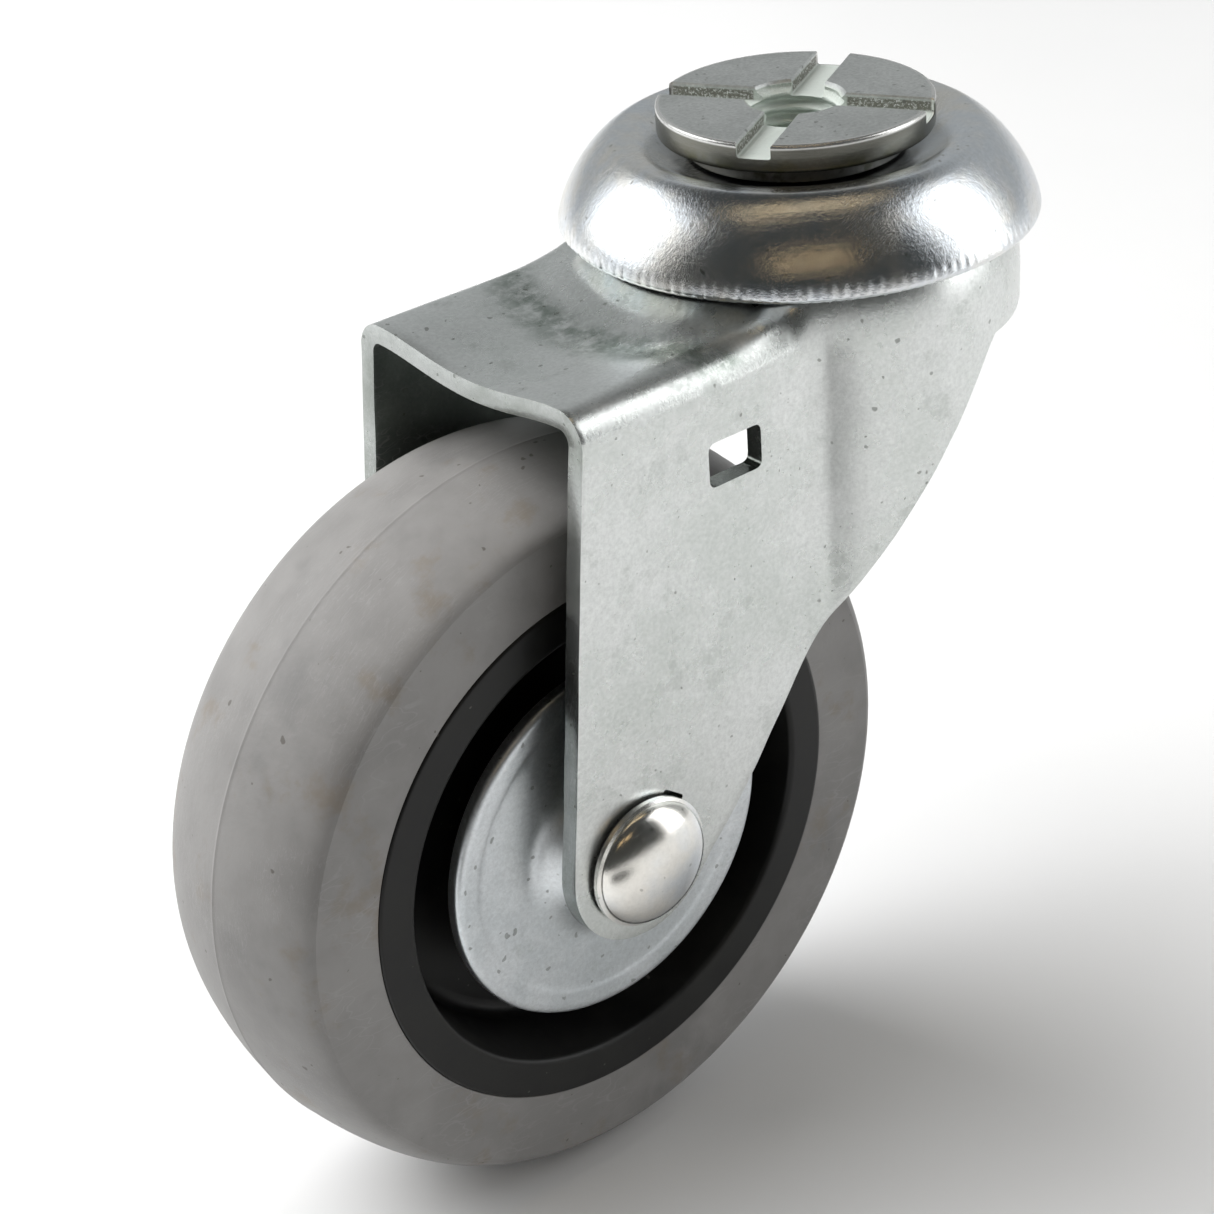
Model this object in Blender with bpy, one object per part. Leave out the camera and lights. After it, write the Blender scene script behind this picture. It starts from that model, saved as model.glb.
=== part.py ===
"""Swivel castor: a grey rubber wheel in a pressed fork that turns under a slotted, threaded king pin.

Frame: the origin is the centre of the threaded hole at the king pin's top face, +Z runs up the swivel
axis, the wheel trails towards -X and its axle lies along Y.
"""
import math

import bmesh
import bpy
import numpy as np
from mathutils import Matrix, Vector

MM = 0.001

# ---- clearances ----
SEAT_GAP = 0.3 * MM        # between faces that seat on each other
RUN_GAP = 0.35 * MM        # round a shaft that turns in its bush
SIDE_PLAY = 0.6 * MM       # between a thread guard and the bush flange beside it
BALL_GAP = 0.6 * MM        # between neighbouring balls in a ring

# ---- wheel ----
WHEEL_DIAMETER = 80.0 * MM
TREAD_WIDTH = 24.1 * MM
TREAD_CROWN = 3.85 * MM    # how far the tread falls from its crown to a shoulder
CROWN_POWER = 1.42         # how quickly it falls
TYRE_THICKNESS = 10.9 * MM
RIM_PROUD = 0.2 * MM       # how far the hub's rim stands out beside the tread
RIM_WALL = 4.2 * MM
RIM_DRAFT = 1.4 * MM       # the rim's inner wall narrows by this much down to the hub's web
HUB_WEB = 7.0 * MM
HUB_EDGE = 0.4 * MM        # chamfer round the rim's edges
HUB_FILLET = 1.0 * MM      # where the web meets the boss
HUB_BOSS_WALL = 2.55 * MM
KEY_RIB_WIDTH = 7.0 * MM   # the tyre's inner rib, locked in the hub's groove
KEY_RIB_DEPTH = 1.6 * MM

# ---- axle ----
SWIVEL_OFFSET = 39.6 * MM  # from the swivel axis back to the axle
AXLE_DIAMETER = 8.0 * MM
AXLE_CHAMFER = 0.6 * MM    # at the threaded end
AXLE_HEAD_DIAMETER = 14.0 * MM
AXLE_HEAD_RIM = 0.6 * MM
AXLE_HEAD_DOME = 2.9 * MM
NIB_WIDTH = 2.4 * MM
NIB_REACH = 6.6 * MM
NIB_DEPTH = 1.4 * MM       # how far the nib stands in the leg's slot
NIB_DIRECTION = math.radians(53)
TUBE_WALL = 1.7 * MM
BUSH_WALL = 2.3 * MM
BUSH_FLANGE = 1.0 * MM
BUSH_FLANGE_LIP = 1.35 * MM
BUSH_SPACING = 1.2 * MM    # between the inner ends of the two bushes
GUARD_SHEET = 1.0 * MM
GUARD_SUNK = 0.15 * MM     # how far a guard's face lies inside the hub's rim face
GUARD_INSET = 5.15 * MM    # from the rim's inner wall in to the guard's edge
GUARD_SEAT_DIAMETER = 15.0 * MM
GUARD_RIM_DEPTH = 1.6 * MM
GUARD_ROLL = 1.0 * MM      # radius of the rolled rim
GUARD_DISH = 2.2 * MM      # run of the slope from the seat down to the face
NUT_HEIGHT = 8.0 * MM
NUT_COLLAR = 2.2 * MM
NUT_COLLAR_WALL = 0.6 * MM
NUT_COLLAR_STEP = 0.4 * MM
NUT_COLLAR_CHAMFER = 0.7 * MM
LOCK_RING_WALL = 0.9 * MM
THREAD_STANDOUT = 0.8 * MM

# ---- fork ----
SHEET = 2.0 * MM
WHEEL_SIDE_ROOM = 2.9 * MM     # between the hub's rim and a leg
WHEEL_TOP_ROOM = 6.89 * MM     # between the tread and the web
FRONT_OVERHANG = 4.1 * MM      # from the axle out to the web's front edge
WEB_SAG = 1.3 * MM
WEB_SAG_SHARE = 0.4            # share of the sag that is left beside the neck
LEG_BEND = 3.2 * MM
LEG_BEND_HEIGHT = 3.35 * MM    # below this the fork's sides are upright
NECK_DIAMETER = 45.2 * MM
NECK_HEIGHT = 5.64 * MM        # from the web up to the neck's flat top
NECK_BEND = 4.0 * MM
NECK_FILLET = 6.0 * MM         # where a leg's flat runs out into the round neck
NECK_FLARE = 2.4 * MM          # how far the neck's foot spreads into the web
NECK_EDGE_SOFTNESS = 0.6 * MM
SKIRT_HEIGHT = 3.5 * MM        # upright wall behind the neck
BOSS_DIAMETER = 17.9 * MM
KINK_AHEAD = 17.6 * MM         # the rear edge's kink, ahead of the axle towards the swivel
KINK_ABOVE = 6.84 * MM         # and above it
REAR_SLOPE = math.radians(52.8)
WINDOW_LENGTH = 6.8 * MM
WINDOW_HEIGHT = 4.7 * MM
WINDOW_X = 25.2 * MM           # from the swivel axis
WINDOW_BELOW_WEB = 10.55 * MM

# ---- king pin ----
HEAD_DIAMETER = 28.2 * MM
HEAD_THICKNESS = 2.9 * MM
HEAD_CHAMFER = 0.35 * MM
THREAD_MINOR_DIAMETER = 8.6 * MM
THREAD_MOUTH_DIAMETER = 10.4 * MM
SLOT_WIDTH = 3.5 * MM
SLOT_DEPTH = 1.5 * MM
SLOT_DIRECTION = math.radians(29.5)
SHANK_DIAMETER = 16.0 * MM
SHOULDER_LEDGE = 3.2 * MM      # how far the shoulder stands out from the shank
SHOULDER_STEP = 2.0 * MM
PEEN_LEDGE = 1.7 * MM
PEEN_HEIGHT = 1.8 * MM

# ---- cap ----
CAP_SHEET = 1.0 * MM
CAP_SEAT_MARGIN = 1.1 * MM     # flat seat left round the king pin's shoulder
CAP_CROWN_DEPTH = 3.1 * MM
CAP_CROWN_MARGIN = 1.35 * MM   # from the ball circle out to the crown
CAP_DIP = ((0.2, 0.16), (0.45, 0.66), (0.7, 0.97))  # shares of the way out and of the climb
CAP_SHOULDER_POWER = 1.4       # 2 would be round, 1 a cone
CAP_OVERHANG = 1.8 * MM        # from the crimped rim out to the widest place
CAP_RIM_MARGIN = 0.25 * MM     # from the neck out to the crimped rim
CAP_RIM_CLEAR = 2.05 * MM      # from the rim down to the web
CAP_CRIMP = 1.1 * MM           # height of the crimped band
CAP_CRIMP_BULGE = 0.2 * MM

# ---- ball races ----
BALL_DIAMETER = 4.76 * MM
GROOVE_MARGIN = 1.4 * MM       # from the upper ball circle out to the neck's bend
LOWER_RING_MARGIN = 1.82 * MM  # between the shank and the lower balls
RACE_TUCK = 0.45 * MM          # how deep the balls sit in their grooves
LOWER_RACE_SHEET = 1.5 * MM
LOWER_RACE_LIP = 2.0 * MM

ROUND = 36                     # facets round a turned piece

# ---- sizes that follow: king pin, cap and balls, from the top down ----
BALL_R = BALL_DIAMETER / 2
NECK_R = NECK_DIAMETER / 2
SHANK_R = SHANK_DIAMETER / 2
SHOULDER_R = SHANK_R + SHOULDER_LEDGE
CAP_SEAT_Z = -(HEAD_THICKNESS + SHOULDER_STEP + SEAT_GAP)
UPPER_PITCH_R = NECK_R - NECK_BEND - GROOVE_MARGIN
LOWER_PITCH_R = SHANK_R + LOWER_RING_MARGIN + BALL_R
UPPER_BALL_Z = -(CAP_CROWN_DEPTH + CAP_SHEET + SEAT_GAP + BALL_R)
GROOVE_R = BALL_R + SEAT_GAP
GROOVE_REACH = math.sqrt(GROOVE_R ** 2 - (GROOVE_R - RACE_TUCK) ** 2)
FORK_TOP_Z = UPPER_BALL_Z - GROOVE_R + RACE_TUCK
LOWER_BALL_Z = FORK_TOP_Z - SHEET - SEAT_GAP - BALL_R
LOWER_RACE_Z = LOWER_BALL_Z - GROOVE_R + RACE_TUCK
PEEN_Z = LOWER_RACE_Z - RACE_TUCK - LOWER_RACE_SHEET - SEAT_GAP
FORK_HOLE_R = SHANK_R + 2 * RUN_GAP

# ---- sizes that follow: the wheel, across and round ----
HUB_R = WHEEL_DIAMETER / 2 - TYRE_THICKNESS
RIM_INNER_R = HUB_R - RIM_WALL
RIM_WIDTH = TREAD_WIDTH + 2 * RIM_PROUD
GUARD_FACE_WIDTH = RIM_WIDTH - 2 * GUARD_SUNK
GUARD_R = RIM_INNER_R - GUARD_INSET
HUB_BOSS_LENGTH = GUARD_FACE_WIDTH - 2 * (GUARD_SHEET + SIDE_PLAY + BUSH_FLANGE + SEAT_GAP)
AXLE_HOLE_R = AXLE_DIAMETER / 2 + SEAT_GAP
TUBE_R = AXLE_HOLE_R + TUBE_WALL
BUSH_BORE_R = TUBE_R + RUN_GAP
BUSH_R = BUSH_BORE_R + BUSH_WALL
LOCK_RING_R = AXLE_HOLE_R + LOCK_RING_WALL
NUT_COLLAR_R = LOCK_RING_R + SEAT_GAP + NUT_COLLAR_WALL
NUT_ACROSS_FLATS = 2 * (NUT_COLLAR_R + NUT_COLLAR_STEP)

# ---- sizes that follow: the fork round both ----
LEG_INNER = RIM_WIDTH / 2 + WHEEL_SIDE_ROOM
LEG_OUTER = LEG_INNER + SHEET
FORK_WIDTH = 2 * LEG_OUTER
FORK_FRONT = SWIVEL_OFFSET + FRONT_OVERHANG
WEB_Z = FORK_TOP_Z - NECK_HEIGHT
WALL_Z = WEB_Z - LEG_BEND_HEIGHT
SKIRT_Z = WALL_Z - SKIRT_HEIGHT
AXLE = Vector((-SWIVEL_OFFSET, 0.0, WEB_Z - WEB_SAG - SHEET - WHEEL_TOP_ROOM - WHEEL_DIAMETER / 2))
KINK = (AXLE.x + KINK_AHEAD, AXLE.z + KINK_ABOVE)
CAP_RIM_R = NECK_R + CAP_RIM_MARGIN
CAP_RIM_Z = WEB_Z + CAP_RIM_CLEAR
NUT_SEAT = LEG_OUTER + SEAT_GAP


def remove_everything():
    """Start from an empty file."""
    for thing in list(bpy.data.objects):
        bpy.data.objects.remove(thing, do_unlink=True)


def finish(name, colour, roughness, metallic):
    """A plain Principled finish."""
    material = bpy.data.materials.new(name)
    material.use_nodes = True
    shader = material.node_tree.nodes["Principled BSDF"]
    shader.inputs["Base Color"].default_value = (*colour, 1.0)
    shader.inputs["Roughness"].default_value = roughness
    shader.inputs["Metallic"].default_value = metallic
    return material


def guide(name, place):
    """An empty that marks a joint's axis."""
    marker = bpy.data.objects.new(name, None)
    marker.location = place
    bpy.context.collection.objects.link(marker)
    return marker


def add_object(name, mesh, material, parent=None):
    """Link a mesh as a named piece, smooth on its round faces, with its parent's axis as its origin."""
    thing = bpy.data.objects.new(name, mesh)
    bpy.context.collection.objects.link(thing)
    if not mesh.materials:
        mesh.materials.append(material)
        mesh.shade_smooth()
        mesh.set_sharp_from_angle(angle=math.radians(32))
    thing.parent = parent
    return thing


def mesh_from(bm, name):
    """Turn a closed bmesh into a mesh whose faces point outwards."""
    bmesh.ops.recalc_face_normals(bm, faces=bm.faces[:])
    mesh = bpy.data.meshes.new(name)
    bm.to_mesh(mesh)
    bm.free()
    return mesh


def turned_mesh(name, profile, along="Z", steps=ROUND):
    """Spin a closed profile of (radius, height) points round Z, then lay it along Y if asked."""
    bm = bmesh.new()
    ring = [bm.verts.new((radius, 0.0, height)) for radius, height in profile]
    edges = [bm.edges.new((ring[i - 1], ring[i])) for i in range(len(ring))
             if profile[i - 1][0] > 1e-9 or profile[i][0] > 1e-9]
    bmesh.ops.spin(bm, geom=ring + edges, cent=(0, 0, 0), axis=(0, 0, 1),
                   angle=2 * math.pi, steps=steps, use_merge=True)
    bmesh.ops.remove_doubles(bm, verts=bm.verts[:], dist=1e-7)
    if along == "Y":
        bmesh.ops.rotate(bm, verts=bm.verts[:], matrix=Matrix.Rotation(-math.pi / 2, 3, "X"))
    return mesh_from(bm, name)


def cutter(name, bm):
    """A hidden tool body for a Boolean."""
    thing = bpy.data.objects.new(name, mesh_from(bm, name))
    bpy.context.collection.objects.link(thing)
    thing.hide_render = True
    thing.display_type = "WIRE"
    return thing


def cut(piece, tool):
    """Take a cutter away from a piece."""
    modifier = piece.modifiers.new("cut " + tool.name, "BOOLEAN")
    modifier.operation = "DIFFERENCE"
    modifier.solver = "EXACT"
    modifier.object = tool


def box_cutter(name, low, high, turn=None):
    """A box tool from its corners, turned about the origin if asked."""
    bm = bmesh.new()
    bmesh.ops.create_cube(bm, size=1.0)
    size = [b - a for a, b in zip(low, high)]
    middle = [(a + b) / 2 for a, b in zip(low, high)]
    bmesh.ops.scale(bm, verts=bm.verts[:], vec=size)
    bmesh.ops.translate(bm, verts=bm.verts[:], vec=middle)
    if turn:
        bmesh.ops.transform(bm, verts=bm.verts[:], matrix=turn)
    return cutter(name, bm)


def rod_cutter(name, radius, length, centre):
    """A round tool along Y."""
    bm = bmesh.new()
    bmesh.ops.create_cone(bm, cap_ends=True, segments=32, radius1=radius, radius2=radius, depth=length,
                          matrix=Matrix.Translation(centre) @ Matrix.Rotation(math.pi / 2, 4, "X"))
    return cutter(name, bm)


def arc(centre, radius, start, stop, count):
    """Points along a circular arc in a plane, ends included."""
    angles = np.linspace(start, stop, count)
    return [(centre[0] + radius * math.cos(a), centre[1] + radius * math.sin(a)) for a in angles]


def offset_profile(points, distance):
    """The same open line moved sideways, to its right, by a distance."""
    line = np.array(points)
    step = np.gradient(line, axis=0)
    step /= np.linalg.norm(step, axis=1)[:, None]
    return [tuple(p) for p in line + distance * np.column_stack([step[:, 1], -step[:, 0]])]


# ---- the king pin and what it carries ----

def king_pin(material):
    """Slotted head, shoulder, shank and a foot peened over below, with a hole for the bolt right through."""
    bore = THREAD_MINOR_DIAMETER / 2
    mouth = THREAD_MOUTH_DIAMETER / 2
    head = HEAD_DIAMETER / 2
    peen = SHANK_R + PEEN_LEDGE
    step = -HEAD_THICKNESS - SHOULDER_STEP
    profile = [
        (mouth, 0.0), (head - HEAD_CHAMFER, 0.0), (head, -HEAD_CHAMFER),
        (head, -HEAD_THICKNESS + HEAD_CHAMFER), (head - HEAD_CHAMFER, -HEAD_THICKNESS),
        (SHOULDER_R, -HEAD_THICKNESS), (SHOULDER_R, step), (SHANK_R, step),
        (SHANK_R, PEEN_Z), (peen, PEEN_Z), (peen, PEEN_Z - PEEN_HEIGHT / 2),
        (peen - PEEN_HEIGHT / 2, PEEN_Z - PEEN_HEIGHT), (bore, PEEN_Z - PEEN_HEIGHT),
        (bore, bore - mouth),
    ]
    pin = add_object("king_pin", turned_mesh("king_pin", profile), material)
    for number, turn in enumerate((SLOT_DIRECTION, SLOT_DIRECTION + math.pi / 2)):
        tool = box_cutter(f"slot_tool_{number}", (-HEAD_DIAMETER, -SLOT_WIDTH / 2, -SLOT_DEPTH),
                          (HEAD_DIAMETER, SLOT_WIDTH / 2, SLOT_DEPTH), Matrix.Rotation(turn, 4, "Z"))
        cut(pin, tool)
    return pin


def over_balls(radius, height):
    """A height on the cap, raised where its sheet has to pass over the upper balls."""
    reach = GROOVE_R + CAP_SHEET
    beside = min(abs(UPPER_PITCH_R - radius), reach)
    return max(height, UPPER_BALL_Z + math.sqrt(reach ** 2 - beside ** 2))


def head_cap(material):
    """A pressed cap: flat seat, countersunk dip, rolled shoulder and a rim crimped inwards."""
    seat = SHOULDER_R + CAP_SEAT_MARGIN
    crown = UPPER_PITCH_R + CAP_CROWN_MARGIN
    widest = CAP_RIM_R + CAP_OVERHANG
    widest_z = CAP_RIM_Z + CAP_CRIMP
    hole = SHANK_R + SEAT_GAP
    climb = -CAP_CROWN_DEPTH - CAP_SEAT_Z
    dip = [(hole, CAP_SEAT_Z), (seat, over_balls(seat, CAP_SEAT_Z))]
    for along, up in CAP_DIP:
        radius = seat + along * (crown - seat)
        dip.append((radius, over_balls(radius, CAP_SEAT_Z + up * climb)))
    shoulder = []
    for turn in np.linspace(0.0, math.pi / 2, 7):
        out = math.sin(turn) ** (2 / CAP_SHOULDER_POWER)
        down = max(math.cos(turn), 0.0) ** (2 / CAP_SHOULDER_POWER)
        shoulder.append((crown + (widest - crown) * out, widest_z - (widest_z + CAP_CROWN_DEPTH) * down))
    crimp = [((widest + CAP_RIM_R) / 2 + CAP_CRIMP_BULGE, (widest_z + 3 * CAP_RIM_Z) / 4),
             (CAP_RIM_R, CAP_RIM_Z)]
    outer = dip + shoulder + crimp
    inner = offset_profile(outer, CAP_SHEET)
    inner[0] = (hole, CAP_SEAT_Z - CAP_SHEET)
    inner[-1] = (CAP_RIM_R - CAP_SHEET, CAP_RIM_Z + CAP_SHEET / 2)
    return add_object("head_cap", turned_mesh("head_cap", outer + inner[::-1], steps=40), material)


def lower_race(material):
    """A pressed cup under the fork, with a groove for the lower balls, held by the king pin's foot."""
    hole = SHANK_R + SEAT_GAP
    lip = LOWER_PITCH_R + BALL_R + SEAT_GAP
    edge = lip + LOWER_RACE_SHEET
    reach = math.atan2(GROOVE_REACH, GROOVE_R - RACE_TUCK)
    groove = arc((LOWER_PITCH_R, LOWER_BALL_Z), GROOVE_R, -math.pi / 2 - reach, -math.pi / 2 + reach, 5)
    top = [(hole, LOWER_RACE_Z)] + groove + [(lip, LOWER_RACE_Z)]
    wall = [(lip, LOWER_RACE_Z + LOWER_RACE_LIP), (edge, LOWER_RACE_Z + LOWER_RACE_LIP)]
    foot = LOWER_RACE_Z - RACE_TUCK - LOWER_RACE_SHEET
    base = [(edge, foot + LOWER_RACE_SHEET / 2), (edge - LOWER_RACE_SHEET / 2, foot), (hole, foot)]
    return add_object("lower_race", turned_mesh("lower_race", top + wall + base), material)


def balls(prefix, pitch, height, material, parent):
    """A full ring of steel balls, each its own piece, as many as the circle holds."""
    count = int(2 * math.pi * pitch / (BALL_DIAMETER + BALL_GAP))
    bm = bmesh.new()
    bmesh.ops.create_uvsphere(bm, u_segments=8, v_segments=5, radius=BALL_R)
    mesh = mesh_from(bm, prefix)
    for number in range(count):
        turn = 2 * math.pi * number / count
        ball = add_object(f"{prefix}_{number + 1:02d}", mesh, material, parent)
        ball.location = (pitch * math.cos(turn), pitch * math.sin(turn), height)
        ball.rotation_euler = (0, 0, turn)


# ---- the fork ----

def smooth_step(value):
    """0 below 0, 1 above 1 and an even S between."""
    value = min(max(value, 0.0), 1.0)
    return value * value * (3 - 2 * value)


def fork_top(x, y):
    """Height of the fork's upper face: ball groove, neck and the web that sags between the bends."""
    radius = math.hypot(x, y)
    run = math.hypot(max(radius - NECK_R + NECK_BEND, 0.0), NECK_EDGE_SOFTNESS)
    neck = math.exp(-(run - NECK_EDGE_SOFTNESS) / NECK_FLARE)
    across = min(abs(y) / (LEG_OUTER - LEG_BEND), 1.0)
    forward = smooth_step((-x - NECK_R) / (FORK_FRONT - NECK_R))
    share = WEB_SAG_SHARE + (1 - WEB_SAG_SHARE) * forward
    sag = WEB_SAG * (1 - across ** 2) * share * (1 - neck)
    level = WEB_Z - sag + NECK_HEIGHT * neck
    from_pitch = abs(radius - UPPER_PITCH_R)
    if from_pitch < GROOVE_R:
        groove = UPPER_BALL_Z - math.sqrt(GROOVE_R ** 2 - from_pitch ** 2)
        level = min(level, groove)
    return level


def leg_foot():
    """The leg's lower edge from its front corner, round the axle boss and up to the neck, as (x, z)."""
    boss = BOSS_DIAMETER / 2
    centre = (AXLE.x, AXLE.z)

    def tangent(point, side):
        """Angle on the boss where a straight edge from the point touches it."""
        dx, dz = point[0] - centre[0], point[1] - centre[1]
        return math.atan2(dz, dx) + side * math.acos(boss / math.hypot(dx, dz))

    front = tangent((-FORK_FRONT, WALL_Z), 1)
    rear = tangent(KINK, -1)
    rear += 2 * math.pi if rear < front else 0.0
    edge = arc(centre, boss, front, rear, 9)
    end = fillet_centre_x()
    halfway = (KINK[0] + end) / 2
    return edge + [KINK, (halfway, rear_edge(halfway)), (end, rear_edge(end))]


def fillet_centre_x():
    """Where a leg's flat ends and the concave run into the round neck starts."""
    return -math.sqrt((NECK_R + NECK_FILLET) ** 2 - (LEG_OUTER + NECK_FILLET) ** 2)


def rear_edge(x):
    """Height of the fork's rear edge: one sloping line, then the level skirt behind the neck."""
    return min(KINK[1] + (x - KINK[0]) * math.tan(REAR_SLOPE), SKIRT_Z)


def fork_stations():
    """Half the fork's plan outline as (point, outward normal, bend, foot), from the front to the rear."""
    stations = []
    fillet_x = fillet_centre_x()
    feet = leg_foot()
    for number, foot in enumerate(feet):
        x = -FORK_FRONT + (FORK_FRONT + fillet_x) * number / (len(feet) - 1)
        widen = smooth_step(number / (len(feet) - 1))
        bend = LEG_BEND + (NECK_BEND - LEG_BEND) * widen
        stations.append(((x, -LEG_OUTER), (0.0, -1.0), bend, (foot[0], -LEG_OUTER, foot[1])))
    centre = (fillet_x, -(LEG_OUTER + NECK_FILLET))
    meet = math.atan2(-centre[1], -centre[0])
    for turn in np.linspace(math.pi / 2, meet, 4)[1:]:
        x = centre[0] + NECK_FILLET * math.cos(turn)
        y = centre[1] + NECK_FILLET * math.sin(turn)
        normal = (-math.cos(turn), -math.sin(turn))
        stations.append(((x, y), normal, NECK_BEND, (x, y, rear_edge(x))))
    for turn in np.linspace(math.atan2(centre[1], centre[0]), 0.0, 13)[1:]:
        x, y = NECK_R * math.cos(turn), NECK_R * math.sin(turn)
        stations.append(((x, y), (math.cos(turn), math.sin(turn)), NECK_BEND, (x, y, rear_edge(x))))
    return stations


def mirrored(station):
    """The same station on the other side of the fork."""
    (x, y), (nx, ny), bend, (fx, fy, fz) = station
    return ((x, -y), (nx, -ny), bend, (fx, -fy, fz))


def fork_sheet():
    """The fork's outer skin: a top plate from the hole out to the bends, then the bends and the walls."""
    half = fork_stations()
    path = half + [mirrored(s) for s in half[-2::-1]]
    inset = [(p[0] - n[0] * b, p[1] - n[1] * b) for p, n, b, _ in path]
    front_y = inset[-1][1]
    loop = inset + [(-FORK_FRONT, y) for y in np.linspace(front_y, -front_y, 7)[1:-1]]
    bm = bmesh.new()

    def top_row(radius_towards):
        """One row of the top plate: a point on each ray from the swivel axis to the loop."""
        row = []
        for x, y in loop:
            far = math.hypot(x, y)
            px, py = x * radius_towards(far) / far, y * radius_towards(far) / far
            row.append(bm.verts.new((px, py, fork_top(px, py))))
        return row

    last = min(UPPER_PITCH_R + GROOVE_REACH, NECK_R - NECK_BEND - SEAT_GAP / 3)
    circles = (FORK_HOLE_R, UPPER_PITCH_R - GROOVE_REACH, UPPER_PITCH_R, last)
    rows = [top_row(lambda far, r=radius: r) for radius in circles]
    rows += [top_row(lambda far, s=share: last + s * (far - last)) for share in (0.06, 0.15, 0.3, 0.6, 1.0)]
    for inner, outer in zip(rows[:-1], rows[1:]):
        join_rows(bm, inner + inner[:1], outer + outer[:1])
    edge = rows[-1][:len(path)]
    for turn in np.linspace(0.0, math.pi / 2, 5)[1:]:
        row = []
        for ((x, y), (nx, ny), bend, _), start in zip(path, rows[-1]):
            inward = bend * (1 - math.sin(turn))
            height = WALL_Z + (start.co.z - WALL_Z) * math.cos(turn)
            row.append(bm.verts.new((x - nx * inward, y - ny * inward, height)))
        join_rows(bm, edge, row)
        edge = row
    join_rows(bm, edge, [bm.verts.new(foot) for _, _, _, foot in path])
    bmesh.ops.remove_doubles(bm, verts=bm.verts[:], dist=1e-7)
    bmesh.ops.recalc_face_normals(bm, faces=bm.faces[:])
    top = max(bm.faces, key=lambda face: face.calc_center_median().z)
    if top.normal.z < 0:
        bmesh.ops.reverse_faces(bm, faces=bm.faces[:])
    mesh = bpy.data.meshes.new("fork")
    bm.to_mesh(mesh)
    bm.free()
    return mesh


def join_rows(bm, upper, lower):
    """Faces between two open rows of points."""
    for i in range(len(upper) - 1):
        bm.faces.new((upper[i], lower[i], lower[i + 1], upper[i + 1]))


def fork(material, parent):
    """The pressed fork: the skin given its sheet's thickness, then pierced."""
    piece = add_object("fork", fork_sheet(), material, parent)
    wall = piece.modifiers.new("sheet", "SOLIDIFY")
    wall.thickness = SHEET
    wall.offset = -1.0
    wall.use_even_offset = True
    wall.use_quality_normals = True
    cut(piece, rod_cutter("axle_hole_tool", AXLE_HOLE_R, 2 * FORK_WIDTH, AXLE))
    low = WEB_Z - WINDOW_BELOW_WEB - WINDOW_HEIGHT / 2
    cut(piece, box_cutter("window_tool", (-WINDOW_X - WINDOW_LENGTH / 2, -FORK_WIDTH, low),
                          (-WINDOW_X + WINDOW_LENGTH / 2, FORK_WIDTH, low + WINDOW_HEIGHT)))
    half = NIB_WIDTH / 2 + SEAT_GAP
    cut(piece, box_cutter("nib_slot_tool", (0.0, -FORK_WIDTH, -half),
                          (NIB_REACH + 2 * SEAT_GAP, -FORK_WIDTH / 4, half), nib_place()))
    return piece


def nib_place():
    """From a box along +X to the nib's place under the axle's head."""
    return Matrix.Translation(AXLE) @ Matrix.Rotation(-NIB_DIRECTION, 4, "Y")


# ---- the axle and what is clamped on it ----

def join(piece, tool):
    """Add a hidden body to a piece."""
    modifier = piece.modifiers.new("join " + tool.name, "BOOLEAN")
    modifier.operation = "UNION"
    modifier.solver = "EXACT"
    modifier.object = tool


def axle_bolt(material, parent):
    """Domed head with an anti-turn nib under it, and a plain shank that runs out through the nut."""
    head = AXLE_HEAD_DIAMETER / 2
    under = -(LEG_OUTER + SEAT_GAP)
    rim = under - AXLE_HEAD_RIM
    end = NUT_SEAT + NUT_HEIGHT + THREAD_STANDOUT
    shank = AXLE_DIAMETER / 2
    dome = [(head * math.cos(a), rim - AXLE_HEAD_DOME * math.sin(a)) for a in np.linspace(0, math.pi / 2, 5)]
    dome[-1] = (0.0, dome[-1][1])
    profile = [(0.0, end), (shank - AXLE_CHAMFER, end), (shank, end - AXLE_CHAMFER),
               (shank, under), (head, under)]
    bolt = add_object("axle_bolt", turned_mesh("axle_bolt", profile + dome, "Y", 28), material, parent)
    join(bolt, box_cutter("nib_body", (0.0, under - AXLE_HEAD_RIM / 2, -NIB_WIDTH / 2),
                          (NIB_REACH, under + SEAT_GAP + NIB_DEPTH, NIB_WIDTH / 2), nib_place()))
    return bolt


def axle_nut(material, parent):
    """A lock nut: hexagon, then a round collar with a recess for its lock ring."""
    flats = NUT_HEIGHT - NUT_COLLAR
    corner = NUT_ACROSS_FLATS / math.sqrt(3)
    bm = bmesh.new()
    lie = Matrix.Translation((0, NUT_SEAT + flats / 2, 0)) @ Matrix.Rotation(math.pi / 2, 4, "X")
    bmesh.ops.create_cone(bm, cap_ends=True, segments=6, radius1=corner, radius2=corner,
                          depth=flats, matrix=lie)
    nut = add_object("axle_nut", mesh_from(bm, "axle_nut"), material, parent)
    end = NUT_SEAT + NUT_HEIGHT
    start = NUT_SEAT + flats / 2
    profile = [(0.0, start), (NUT_COLLAR_R, start), (NUT_COLLAR_R, end - NUT_COLLAR_CHAMFER),
               (NUT_COLLAR_R - NUT_COLLAR_CHAMFER, end), (0.0, end)]
    collar = bpy.data.objects.new("nut_collar_body", turned_mesh("nut_collar", profile, "Y", 32))
    bpy.context.collection.objects.link(collar)
    collar.location = AXLE
    collar.hide_render = True
    collar.display_type = "WIRE"
    join(nut, collar)
    middle = AXLE + Vector((0, NUT_SEAT + NUT_HEIGHT / 2, 0))
    cut(nut, rod_cutter("nut_bore_tool", AXLE_HOLE_R, 2 * NUT_HEIGHT, middle))
    outer_end = AXLE + Vector((0, end, 0))
    cut(nut, rod_cutter("nut_recess_tool", LOCK_RING_R + SEAT_GAP, 2 * NUT_COLLAR, outer_end))
    return nut


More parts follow.
